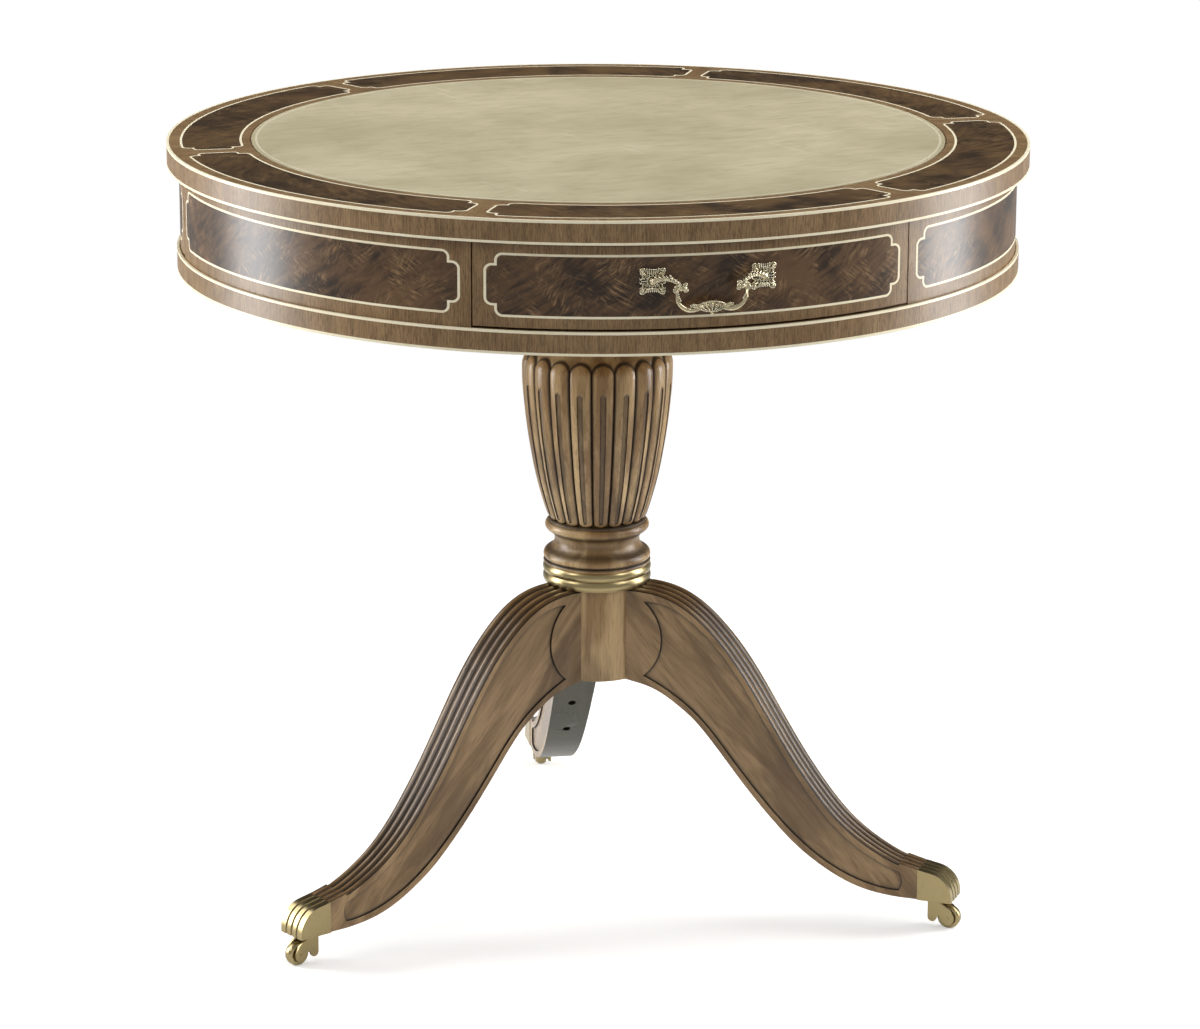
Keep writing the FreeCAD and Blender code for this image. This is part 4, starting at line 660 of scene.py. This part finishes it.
smoothFixedFronts()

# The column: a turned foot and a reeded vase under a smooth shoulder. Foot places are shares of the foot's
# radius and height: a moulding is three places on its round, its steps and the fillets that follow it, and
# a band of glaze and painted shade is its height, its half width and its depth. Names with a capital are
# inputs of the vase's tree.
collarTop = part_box("brass_collar")[1].z
footTop = collarTop + 0.0458
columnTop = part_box("column")[1].z
column = {
    "footRadius": 0.054, "sides": 128,
    "footMouldings": (
        ((0.97, 0.004), (0.992, 0.045), (0.968, 0.085), 8, ((0.955, 0.088), (0.955, 0.1))),
        ((0.962, 0.1), (0.99, 0.18), (0.925, 0.3), 14, ((0.905, 0.315),)),
        ((0.9, 0.32), (0.785, 0.5), (0.86, 0.7), 14, ((0.872, 0.71), (0.895, 0.725))),
        ((0.9, 0.735), (0.962, 0.84), (0.915, 0.94), 12, ((0.9, 0.95), (0.9, 0.985), (0.88, 1.0))),
    ),
    "footGlaze": (
        (0.09, 0.06, 1.0), (0.32, 0.12, 0.85), (0.5, 0.25, 0.3), (0.71, 0.09, 1.0), (0.98, 0.07, 1.0),
    ),
    "Bottom": footTop, "Top": columnTop, "Radius": 0.0745, "Reeds": 20, "Turn": -9.55,
    "Reed depth": 0.0042, "Reed top": 0.171, "Dome": 0.011, "Toe": 0.005,
    "Slot half": 0.26, "Slot wall": 0.04, "Slot depth": 0.0013, "Slot foot": 0.007, "Slot head": 0.139,
    "Slot end": 0.003, "Steps": 20, "Rows": 170, "slotSteps": (0.2, 0.3),
    "flankWax": (0.6, 0.93), "groundWax": (1.06, 1.5, 0.8), "slotWax": 0.5, "wallWax": 2.0,
}


def makeColumnFoot():
    base, wide, tall = collarTop, column["footRadius"], footTop - collarTop

    def at(radialShare, heightShare):
        return (wide * radialShare, base + tall * heightShare)

    profile = [(0, base), at(0.95, 0), at(0.97, 0.004)]
    for first, middle, last, steps, fillets in column["footMouldings"]:
        profile += bow(at(*first), at(*middle), at(*last), steps) + [at(*place) for place in fillets]
    profile.append((0, base + tall))
    mesh = lathe("columnFoot", profile, column["sides"])
    # bands of glaze and painted shade in the foot's recesses, kept on the mesh
    glaze = mesh.attributes.new("glaze", "FLOAT", "POINT")
    for vert in mesh.vertices:
        share = (vert.co.z - base) / tall
        depths = [deep * max(0.0, 1 - abs(share - place) / half) ** 0.8
                  for place, half, deep in column["footGlaze"]]
        glaze.data[vert.index].value = max(depths)
    settle("column_foot", mesh, "walnut", "base", ["column"])


def makeVase():
    inputs = {label: column[label] for label in column if label[0].isupper()}
    graph, of = newTree("reededVase", inputs)
    sheet = graph.add("GeometryNodeMeshGrid", None, {
        "Size X": 1.0, "Size Y": 1.0, "Vertices X": of["Reeds"] * of["Steps"] + 1, "Vertices Y": of["Rows"],
    })
    x, y = graph.split(graph.add("GeometryNodeInputPosition"))[:2]
    height = of["Top"] - of["Bottom"]
    # the first and the last rows lie past the ends, where the vase is closed on its axis
    up = graph.add("ShaderNodeFloatCurve", {"curve": vaseRows}, {"Value": y + 0.5}) * 1.04 - 0.02
    inside = up.maths("GREATER_THAN", 0.0) * up.maths("LESS_THAN", 1.0)
    rise = up.atLeast(0.0).atMost(1.0) * height
    reed = (x + 0.5) * of["Reeds"]
    cell = reed.maths("FLOOR").atMost(of["Reeds"] - 1)
    raw = (reed - cell) * 2 - 1
    # across runs from 0 on the middle of a reed to 1 in its groove, with closer steps at the slot's walls
    size, (inner, outer) = abs(raw), column["slotSteps"]
    middle = size.atMost(inner) * ((of["Slot half"] - of["Slot wall"]) / inner)
    wall = (size - inner).atLeast(0.0).atMost(outer - inner) * (of["Slot wall"] / (outer - inner))
    flank = (size - outer).atLeast(0.0) * ((1 - of["Slot half"]) / (1 - outer))
    across = middle + wall + flank
    place = (cell + (raw.maths("SIGN") * across + 1) * 0.5) / of["Reeds"]
    over = ((rise - of["Reed top"] + of["Dome"]) / of["Dome"]).atLeast(0.0)
    under = ((of["Toe"] - rise) / of["Toe"]).atLeast(0.0)
    edge = across * across + over * over + under * under
    bulge = (1 - edge).atLeast(0.0).root()
    head = ((rise - of["Slot head"]) / of["Slot end"]).atLeast(0.0)
    foot = ((of["Slot foot"] - rise) / of["Slot end"]).atLeast(0.0)
    width = (1 - head * head - foot * foot).atLeast(0.0).root() * of["Slot half"]
    slot = 1 - graph.spread(across - width, -0.03, 0.0)
    ground = graph.add("ShaderNodeFloatCurve", {"curve": vaseGround}, {"Value": rise / height})
    radius = (ground * of["Radius"] + bulge * of["Reed depth"] - slot * of["Slot depth"]) * inside
    turn = place * (2 * math.pi) + (of["Turn"] - 90 - 180 / of["Reeds"]) * math.radians(1)
    where = graph.vector(turn.maths("COSINE") * radius, turn.maths("SINE") * radius, rise + of["Bottom"])
    # glaze and painted shade in the grooves between the reeds, round the domes and in the slots, painted
    # shade on the slot walls, and less of both beyond the reeds' ends
    bareFrom, bareTo, bareDepth = column["groundWax"]
    glazeAndShadeAmount = graph.spread(edge, *column["flankWax"]) - graph.spread(edge, bareFrom, bareTo) * bareDepth
    glazeAndShadeAmount = glazeAndShadeAmount + slot * column["slotWax"] + slot * (1 - slot) * column["wallWax"]
    waxed = graph.add("GeometryNodeStoreNamedAttribute", {"data_type": "FLOAT", "domain": "POINT"},
                      {"Geometry": sheet, "Name": "glaze", "Value": glazeAndShadeAmount})
    shaped = graph.add("GeometryNodeSetPosition", None, {"Geometry": waxed, "Position": where})
    closed = graph.add("GeometryNodeMergeByDistance", None, {"Geometry": shaped, "Distance": 0.00002})
    mesh = grown("columnVase", graph, closed, inputs, "walnut")
    form = bmesh.new()
    form.from_mesh(mesh)
    bmesh.ops.recalc_face_normals(form, faces=form.faces)
    form.to_mesh(mesh)
    form.free()
    settle("column_vase", mesh, None, "base", ["column"], 48)


# Height and radius of the ground between the reeds, and of the shoulder above them,
# as shares of the vase's height and widest radius
vaseGround = (
    (0.0, 0.593), (0.040, 0.641), (0.107, 0.710), (0.187, 0.778), (0.267, 0.829), (0.361, 0.880),
    (0.454, 0.917), (0.548, 0.944), (0.614, 0.948), (0.651, 0.925), (0.684, 0.862), (0.714, 0.815),
    (0.751, 0.72), (0.867, 0.6), (0.967, 0.832), (1.0, 0.832),
)

# where the rows lie: they crowd at the ends of the slots and round the domes
vaseRows = ((0.0, 0.0), (0.15, 0.06), (0.36, 0.53), (0.83, 0.7), (1.0, 1.0))

makeColumnFoot()
makeVase()
print("column grown")


class Casting:
    # rods, balls and curls that are fused into one casting, in millimetres until it is cast
    def __init__(self):
        self.form = bmesh.new()
        self.place = Matrix.Identity(4)

    def skin(self, rings):
        # a closed skin over rings of equal count
        made = [[self.form.verts.new(self.place @ Vector(point)) for point in ring] for ring in rings]
        count = len(made[0])
        for low, high in zip(made, made[1:]):
            for i in range(count):
                j = (i + 1) % count
                self.form.faces.new((low[i], low[j], high[j], high[i]))
        self.form.faces.new(made[0][::-1])
        self.form.faces.new(made[-1])

    def rod(self, path, radii, sides=10):
        # a round bar along the path, drawn to a blunt point at both ends
        path = [Vector(point) for point in path]
        count = len(path)
        rings, side = [], None
        for i, point in enumerate(path):
            ahead = (path[min(i + 1, count - 1)] - path[max(i - 1, 0)]).normalized()
            if side is None:
                side = ahead.orthogonal().normalized()
            side = (side - ahead * side.dot(ahead)).normalized()
            other = ahead.cross(side)
            share = i / (count - 1) * (len(radii) - 1)
            low = min(int(share), len(radii) - 2)
            reach = radii[low] + (radii[low + 1] - radii[low]) * (share - low)
            turns = [2 * math.pi * k / sides for k in range(sides)]
            rings.append([point + (side * math.cos(t) + other * math.sin(t)) * reach for t in turns])
            if i in (0, count - 1):
                tip = point + ahead * (reach * 0.5 if i else -reach * 0.5)
                blunt = [tip + (side * math.cos(t) + other * math.sin(t)) * reach * 0.6 for t in turns]
                rings.insert(len(rings) if i else 0, blunt)
        self.skin(rings)

    def ball(self, centre, radii, turn=0.0, rings=6, sides=12):
        # turn is counted about the outward axis
        centre, spin = Vector(centre), Matrix.Rotation(turn, 3, "Z")
        turns = [2 * math.pi * k / sides for k in range(sides)]
        loops = []
        for i in range(rings + 1):
            lift = math.pi * (i + 0.15) / (rings + 0.3)
            wide, tall = radii[0] * math.sin(lift), radii[1] * math.sin(lift)
            high = -radii[2] * math.cos(lift)
            places = [Vector((wide * math.cos(t), tall * math.sin(t), high)) for t in turns]
            loops.append([centre + spin @ place for place in places])
        self.skin(loops)

    def curl(self, start, centre, turns, radii, hand, rise=0.0):
        # a rod that winds in from its start around the centre
        start, centre = Vector(start), Vector(centre)
        first = start - centre
        reach, angle = math.hypot(first.x, first.y), math.atan2(first.y, first.x)
        path, steps = [], 18
        for i in range(steps + 1):
            share = i / steps
            wide = reach * (1 - share * 0.82)
            spin = angle + hand * share * turns * 2 * math.pi
            path.append((centre.x + wide * math.cos(spin), centre.y + wide * math.sin(spin),
                         start.z + (centre.z - start.z) * share + rise * share))
        self.rod(path, radii, 8)
        self.ball(path[-1], (radii[-1] * 1.5,) * 3)

    def cast(self, name, voxel):
        # one closed skin round everything, softened as a casting is
        bmesh.ops.recalc_face_normals(self.form, faces=self.form.faces)
        mesh = bpy.data.meshes.new(name + "Rough")
        self.form.to_mesh(mesh)
        self.form.free()
        carrier = bpy.data.objects.new(name + "Rough", mesh)
        scene.collection.objects.link(carrier)
        fusing = carrier.modifiers.new("fuse", "REMESH")
        fusing.mode, fusing.voxel_size, fusing.adaptivity = "VOXEL", voxel, 0.0
        easing = carrier.modifiers.new("ease", "SMOOTH")
        easing.factor, easing.iterations = 0.5, 1
        ready = bpy.context.evaluated_depsgraph_get()
        solid = bpy.data.meshes.new_from_object(carrier.evaluated_get(ready), depsgraph=ready)
        bpy.data.objects.remove(carrier)
        solid.transform(Matrix.Scale(0.001, 4))
        solid.name = name
        return solid


# Drawer handles in millimetres, drawn for the drawer that faces -Y. Behind each end of the bail stands
# a cartouche, whose tiers are a share of its star and a height.
handle = {
    "frieze": 407.5, "mountPitch": 51.0, "mountHeight": 714.5, "pivotHeight": 709.5, "pivotStand": 11.0,
    "knucklePitch": 27.0, "knuckleRadius": 3.4, "knuckleWidth": 6.2, "armRise": 5.6, "pinInset": 2.6,
    "elbow": 31.9, "barRadius": 2.1, "drop": 19.0, "shellSpan": 11.2, "shellHalf": (14.2, 5.2, 2.8),
    "flutes": 23.1, "fluteDepths": (0.11, 0.42), "bailFront": 0.84, "voxel": 0.29, "bailVoxel": 0.26,
}
cartouche = {
    "radius": 7.9, "lobes": (4, 1.5), "scallops": (16, 0.35), "steps": 48,
    "tiers": ((0.97, 0.1), (1.0, 0.5), (0.94, 0.9), (0.55, 1.2)), "crestLeaves": 6, "skirtLeaves": 7,
    "ringRadius": 4.6, "ringThick": 0.6, "petals": 12, "petalRadius": 5.6, "boss": (3.7, 3.7, 4.2),
}
# turns what is drawn with x across, y up and z outwards to stand before the drawer
facing = Matrix(((1, 0, 0, 0), (0, 0, -1, 0), (0, 1, 0, 0), (0, 0, 0, 1)))


def arcPath(first, middle, last, count):
    # points of the arc through three places in space, both ends kept
    a, b, c = Vector(first), Vector(middle), Vector(last)
    flatX = (c - a).normalized()
    normal = (b - a).cross(c - a).normalized()
    flatY = normal.cross(flatX)
    flat = [((p - a).dot(flatX), (p - a).dot(flatY)) for p in (a, b, c)]
    return [a] + [a + flatX * x + flatY * y for x, y in bow(*flat, count)]


def rosette(casting):
    steps = cartouche["steps"]
    spin = [2 * math.pi * i / steps for i in range(steps)]
    (lobes, lobeDepth), (scallops, scallopDepth) = cartouche["lobes"], cartouche["scallops"]
    star = [cartouche["radius"] - lobeDepth * math.cos(lobes * t) + scallopDepth * math.cos(scallops * t)
            for t in spin]
    rings = []
    for share, height in cartouche["tiers"]:
        wide = [reach * share for reach in star]
        rings.append([(r * math.cos(t), r * math.sin(t), height) for r, t in zip(wide, spin)])
    casting.skin(rings)
    for across in (-1, 1):
        for up in (-1, 1):
            hand = across * up

            def corner(*places):
                return [(across * x, up * y, z) for x, y, z in places]

            start, centre = corner((6.6, 8.2, 1.3), (9.3, 9.2, 1.5))
            casting.curl(start, centre, 1.05, (0.75, 1.15, 1.0, 0.8), -hand, 0.7)
            casting.rod(corner((6.0, 6.0, 1.2), (8.3, 7.2, 2.0), (9.6, 8.6, 1.7)), (1.2, 1.3, 0.8))
            flank = corner((10.9, 6.6, 1.0), (8.7, 4.2, 1.8), (10.3, 1.5, 1.1))
            casting.rod(arcPath(*flank, 12), (0.85, 0.9, 0.6))
            casting.ball((across * 10.7, up * 1.7, 1.4), (1.1, 1.1, 1.1))
            casting.ball((across * 8.0, up * 2.3, 1.4), (1.7, 0.7, 0.9), hand * 0.3)
        casting.ball((across * 8.3, 0, 1.5), (2.0, 0.8, 1.1))
    middle = (cartouche["crestLeaves"] - 1) / 2
    for number in range(cartouche["crestLeaves"]):
        lean = (number - middle) / middle
        casting.ball((lean * 4.9, 8.3 + lean * lean * 0.7, 1.7), (0.98, 3.0, 1.5), -lean * 0.22)
        casting.ball((lean * 5.3, 10.5 + lean * lean * 0.8, 2.0), (0.95, 0.95, 1.15))
    middle = (cartouche["skirtLeaves"] - 1) / 2
    for number in range(cartouche["skirtLeaves"]):
        lean = (number - middle) / middle
        casting.ball((lean * 5.0, -8.0 - lean * lean * 0.3, 1.7), (0.86, 2.6, 1.45), lean * 0.4)
    reach, thick = cartouche["ringRadius"], cartouche["ringThick"]
    ring = [(reach * math.cos(t), reach * math.sin(t), 1.8) for t in spin[::3] + spin[:4:3]]
    casting.rod(ring, (thick, thick))
    reach = cartouche["petalRadius"]
    for number in range(cartouche["petals"]):
        angle = 2 * math.pi * number / cartouche["petals"]
        casting.ball((reach * math.cos(angle), reach * math.sin(angle), 1.5), (1.3, 0.62, 0.95), angle)
    casting.ball((0, 0, 2.0), cartouche["boss"], 0, 8, 16)


def mountCasting(side):
    casting = Casting()
    radius, high = handle["frieze"], handle["mountHeight"]
    lean = Matrix.Rotation(side * math.asin(handle["mountPitch"] / radius), 4, "Z")
    outward = Matrix.Translation((0, -radius - 0.1, high)) @ facing
    casting.place = lean @ outward
    rosette(casting)
    casting.place = Matrix.Identity(4)
    root = lean @ outward @ Vector((0, 0, 4.6))
    knuckle = Vector((side * handle["knucklePitch"], -radius - handle["pivotStand"], handle["pivotHeight"]))
    chord = knuckle - root
    rise = Vector((0, side, 0)).cross(Vector((chord.x, 0, chord.z))).normalized()
    path = arcPath(root, (root + knuckle) * 0.5 + rise * handle["armRise"], knuckle, 20)
    casting.rod(path, (2.4, 2.2, 1.9, 1.6, 1.5, 1.5, 1.8))
    # ribbed leaves wrap the arm, and one tip stands up from its middle
    for step in range(1, 18, 2):
        ahead = (path[step + 1] - path[step]).normalized()
        over = Vector((0, -1, 0))
        across = ahead.cross(over).normalized()
        wide = 2.9 - step * 0.07
        for flank in (-1, 1):
            foot = path[step] + over * 1.5
            tip = foot + across * flank * wide - ahead * 1.5 - over * 1.3
            casting.rod([foot + ahead * 1.6, foot + across * flank * wide * 0.5, tip], (0.75, 0.85, 0.5), 8)
            casting.ball(tip, (0.72, 0.72, 0.72))
    ahead = (path[12] - path[11]).normalized()
    lift = Vector((side * 0.35, -0.3, 1.0))
    casting.rod([path[12], path[12] + lift * 2.4, path[12] + lift * 4.0 - ahead * 0.9], (1.1, 0.8, 0.55), 8)
    casting.ball(path[12] + lift * 4.1 - ahead * 0.9, (0.85, 0.85, 0.85))
    half = handle["knuckleWidth"] * 0.5
    thick = handle["knuckleRadius"]
    ends = [knuckle + Vector((share * half, 0, 0)) for share in (-0.92, -0.5, 0.0, 0.5, 0.92)]
    casting.rod(ends, (thick * 0.7, thick * 0.95, thick * 0.72, thick * 0.95, thick * 0.7), 18)
    # curls above the knuckle and beside it
    casting.place = Matrix.Translation(knuckle) @ facing
    casting.curl((-side * 0.6, 1.8, 1.6), (-side * 2.6, 3.0, 1.9), 0.9, (1.1, 1.0, 0.7), side)
    casting.curl((-side * 1.0, -1.4, 1.6), (-side * 3.1, -1.2, 1.7), 0.85, (1.0, 0.9, 0.6), -side)
    casting.rod([(side * 2.0, 2.0, 1.4), (side * 3.4, 3.2, 1.6), (side * 4.6, 2.2, 1.2)], (0.9, 0.9, 0.6), 8)
    return casting


def bailCasting():
    casting = Casting()
    pivot = Vector((0, -handle["frieze"] - handle["pivotStand"], handle["pivotHeight"]))
    drop, elbow, span, bar = handle["drop"], handle["elbow"], handle["shellSpan"], handle["barRadius"]
    for side in (-1, 1):

        def mirrored(*places):
            return [(side * x, y, z) for x, y, z in places]

        top = pivot + Vector((side * elbow, 0, 0))
        bend = top - Vector((0, 0, drop * 0.55))
        turnIn = pivot + Vector((side * (elbow - (elbow - span) * 0.24), 0, -drop * 0.9))
        low = pivot + Vector((side * span, 0, -drop))
        arm = [top, (top + bend) * 0.5] + arcPath(bend, turnIn, low, 24)
        casting.rod(arm, (1.5, 1.8, 2.2, 2.5, 2.1, 1.4), 20)
        casting.ball(top, (bar, bar, bar))
        pin = pivot + Vector((side * (handle["knucklePitch"] - handle["pinInset"]), 0, 0))
        casting.rod([pin, (pin + top) * 0.5, top], (1.55, 1.55), 16)
        casting.place = Matrix.Translation(top) @ facing
        casting.curl(*mirrored((0.6, -2.6, 1.2), (-0.9, 0.6, 1.3)), 0.9, (1.2, 1.1, 0.8), side)
        casting.curl(*mirrored((0.4, -3.0, 1.0), (1.9, -1.2, 1.2)), 0.7, (0.9, 0.8, 0.6), side)
        casting.rod(mirrored((-0.4, -3.4, 1.6), (-1.0, -7.0, 1.9), (-3.6, -11.6, 1.5)), (0.5, 0.9, 0.5), 8)
        # a leaf lies on the bar before the shell, its tip rolled back
        casting.place = Matrix.Translation(pivot - Vector((0, 0, drop))) @ facing
        leaf = mirrored((11.5, 0.8, 0.8), (14.0, 3.0, 1.2), (17.0, 4.2, 1.2), (19.4, 3.4, 0.8))
        casting.rod(leaf, (0.9, 1.0, 0.95, 0.6), 8)
        casting.curl(*mirrored((19.4, 3.4, 0.8), (18.6, 2.4, 0.9)), 0.7, (0.7, 0.7, 0.6), -side)
        for share in (0.2, 0.4, 0.6, 0.8):
            spot = Vector(leaf[1]).lerp(Vector(leaf[3]), share)
            rib = [spot + Vector(step) for step in mirrored((0, 0, 0), (-1.4, -1.3, 0.2), (-2.8, -2.8, 0.0))]
            casting.rod(rib, (0.7, 0.8, 0.5), 8)
        casting.rod(mirrored((12.0, -1.6, 0.6), (15.5, -2.0, 0.9), (19.0, -1.2, 0.5)), (0.9, 0.9, 0.5), 8)
        casting.place = Matrix.Identity(4)
    shell(casting, pivot - Vector((0, 0, drop - 1.3)))
    tip = pivot - Vector((0, 0, drop + 5.0))
    casting.rod([tip + Vector((0, 0, 2.0)), tip, tip - Vector((0, 0, 0.9))], (1.9, 1.3, 1.5), 12)
    casting.ball(tip - Vector((0, 0, 0.4)), (1.6, 1.6, 1.3))
    return casting


def shell(casting, centre):
    # a fan whose flutes spread from a point below its foot, deeper in front and above
    wide, tall, deep = handle["shellHalf"]
    rimDepth, faceDepth = handle["fluteDepths"]
    rows, sides = 20, 120
    loops = []
    for i in range(rows + 1):
        lift = math.pi * (i + 0.1) / (rows + 0.2)
        loop = []
        for k in range(sides):
            t = 2 * math.pi * k / sides
            x, z = wide * math.sin(lift) * math.cos(t), tall * math.sin(lift) * math.sin(t)
            ridge = math.cos(math.atan2(x * 0.42, z + tall * 1.25) * handle["flutes"])
            scale = 1 + rimDepth * ridge * math.sin(lift) ** 4 * (1 if z > 0 else 0.3)
            y = -deep * math.cos(lift) * (1 + (faceDepth * ridge if lift > math.pi / 2 else 0))
            loop.append(centre + Vector((x * scale, -y, z * scale)))
        loops.append(loop)
    casting.skin([loop[::-1] for loop in loops])
    rim = [centre + Vector(place) for place in ((-11.5, -2.0, 2.6), (0, -2.6, 5.0), (11.5, -2.0, 2.6))]
    casting.rod(arcPath(*rim, 20), (0.6, 1.0, 0.6), 8)


def makeHandles():
    sides = {-1: "mountLeft", 1: "mountRight"}
    mounts = [mountCasting(side).cast(name, handle["voxel"]) for side, name in sides.items()]
    bail = bailCasting().cast("bail", handle["bailVoxel"])
    # what stands out before the bail's pivots is pressed back a little, to stay within the solid bail
    plane = -(handle["frieze"] + handle["pivotStand"]) * 0.001
    for vert in bail.vertices:
        vert.co.y = max(vert.co.y, plane + (vert.co.y - plane) * handle["bailFront"])
    for drawer, azimuth in (("front", 0), ("right", 120), ("left", 240)):
        turn = Matrix.Rotation(math.radians(azimuth), 4, "Z")
        form = bmesh.new()
        for mesh in mounts:
            form.from_mesh(mesh)
        both = kept(form, f"mounts{drawer}")
        both.transform(turn)
        node = f"drawer_{drawer}_handle_mounts"
        settle(f"handle_mounts_{drawer}", both, "brass_cast", "drawer_" + drawer, [node], 60)
        swinging = bail.copy()
        swinging.transform(turn)
        node = f"drawer_{drawer}_bail"
        settle(f"handle_bail_{drawer}", swinging, "brass_cast", "bail_" + drawer, [node], 60)
    print("handles cast:", sum(len(m.polygons) for m in mounts) + len(bail.polygons), "faces a drawer")


makeHandles()

# Floor, light and camera. Azimuths count from the camera's side, which lies at rowTurn.
rowTurn = -14.0
studio = {
    "floorHalf": 30.0, "floorShade": (0.9, 0.9, 0.9, 1), "floorRough": 0.7, "floorGloss": 0.1,
    "floorGlow": 0.32, "floorFade": (0.6, 1.5), "floorFar": 0.4,
    "ambient": 0.36, "mirrored": (0.05, 0.42), "mirroredFrom": (0.1, 0.9),
    "side": {"azimuths": (-96, 99), "distance": 2.1, "middle": 0.97, "size": (0.7, 1.9), "powers": (40, 38)},
    "top": {"place": (0.2, 0.4, 3.2), "aim": 0.7, "size": 2.6, "power": 31.0},
    "front": {"azimuths": (-58, 60), "distance": 3.2, "height": 2.3, "aim": 0.4, "size": 1.0, "power": 21.0},
    "back": {"azimuths": (-122, 124), "distance": 2.9, "height": 2.5, "aim": 0.4, "size": 1.1, "power": 15.0},
}


def aimLamp(name, place, aim, power, wide, tall=None):
    # a square or oblong lamp that points at the table's axis at the height of its aim
    data = bpy.data.lights.new(name, "AREA")
    data.shape, data.size, data.energy = "SQUARE", wide, power
    if tall:
        data.shape, data.size_y = "RECTANGLE", tall
    lamp = bpy.data.objects.new(name, data)
    scene.collection.objects.link(lamp)
    lamp.location = place
    lamp.rotation_euler = (Vector((0, 0, aim)) - Vector(place)).to_track_quat("-Z", "Y").to_euler()
    lamp.visible_camera = False


def around(azimuth, distance, height):
    turn = math.radians(azimuth + rowTurn)
    return (distance * math.sin(turn), -distance * math.cos(turn), height)


def makeFloor():
    half = studio["floorHalf"]
    corners = [(-half, -half, 0), (half, -half, 0), (half, half, 0), (-half, half, 0)]
    mesh = bpy.data.meshes.new("studioFloor")
    mesh.from_pydata(corners, [], [(0, 1, 2, 3)])
    floor = bpy.data.objects.new("studioFloor", mesh)
    scene.collection.objects.link(floor)
    graph, place = begin("studioFloor")
    floorNodes = graph.tree.nodes
    shader = floorNodes["Principled BSDF"]
    shader.inputs["Base Color"].default_value = studio["floorShade"]
    shader.inputs["Roughness"].default_value = studio["floorRough"]
    shader.inputs["Specular IOR Level"].default_value = studio["floorGloss"]
    # the camera sees a floor that glows up to white further out, and the table sees a darker one
    seen = graph.add("ShaderNodeLightPath", None, None, "Is Camera Ray")
    glow = graph.add("ShaderNodeEmission", None, {"Strength": seen * studio["floorGlow"]})
    near = graph.add("ShaderNodeAddShader", None, {0: Link(graph, shader.outputs[0]), 1: glow})
    x, y = graph.split(place)[:2]
    distant = studio["floorFar"] + seen * (1 - studio["floorFar"])
    far = graph.add("ShaderNodeEmission", None, {"Strength": distant})
    fade = graph.spread((x * x + y * y).root(), *studio["floorFade"])
    both = graph.add("ShaderNodeMixShader", None, {0: fade, 1: near, 2: far})
    graph.tree.links.new(both.socket, floorNodes["Material Output"].inputs["Surface"])
    mesh.materials.append(graph.material)


def makeWorld():
    # white to the camera, grey to matt surfaces, and to polished ones dark except behind the camera
    world = bpy.data.worlds.new("studio")
    scene.world = world
    world.use_nodes = True
    graph = Graph(world.node_tree)
    ground = world.node_tree.nodes["Background"]
    seen = graph.add("ShaderNodeLightPath", None, None, "Is Camera Ray")
    mirrored = graph.add("ShaderNodeLightPath", None, None, "Is Glossy Ray")
    x, y = graph.split(graph.add("ShaderNodeTexCoord", None, None, "Generated"))[:2]
    turn = math.radians(rowTurn)
    toFront = x * math.sin(turn) - y * math.cos(turn)
    forward = graph.spread(toFront, *studio["mirroredFrom"], *studio["mirrored"])
    strength = studio["ambient"] + seen * (1 - studio["ambient"]) - mirrored * (studio["ambient"] - forward)
    world.node_tree.links.new(strength.socket, ground.inputs["Strength"])
    ground.inputs["Color"].default_value = (1, 1, 1, 1)


def makeLamps():
    side, top = studio["side"], studio["top"]
    for number, azimuth in enumerate(side["azimuths"]):
        place = around(azimuth, side["distance"], side["middle"])
        aimLamp(f"sideLamp{number}", place, side["middle"], side["powers"][number], *side["size"])
    aimLamp("topLamp", top["place"], top["aim"], top["power"], top["size"])
    for name in ("front", "back"):
        lamp = studio[name]
        for number, azimuth in enumerate(lamp["azimuths"]):
            place = around(azimuth, lamp["distance"], lamp["height"])
            aimLamp(f"{name}Lamp{number}", place, lamp["aim"], lamp["power"], lamp["size"])


shot = {
    "lens": 128.568, "sensor": 36.0, "distance": 4.1229, "height": 1.529, "turn": -14.0407, "tilt": 15.48,
    "roll": 0.0033,
}


def makeCamera():
    data = bpy.data.cameras.new("camera")
    data.lens, data.sensor_width = shot["lens"], shot["sensor"]
    camera = bpy.data.objects.new("camera", data)
    scene.collection.objects.link(camera)
    camera.location = around(0, shot["distance"], shot["height"])
    turned = Matrix.Rotation(math.radians(shot["turn"]), 4, "Z")
    tilted = Matrix.Rotation(math.radians(90 - shot["tilt"]), 4, "X")
    camera.rotation_euler = (turned @ tilted @ Matrix.Rotation(shot["roll"], 4, "Z")).to_euler()
    scene.camera = camera
    scene.view_settings.view_transform = "Standard"


makeFloor()
makeWorld()
makeLamps()
makeCamera()
print("studio and camera set")
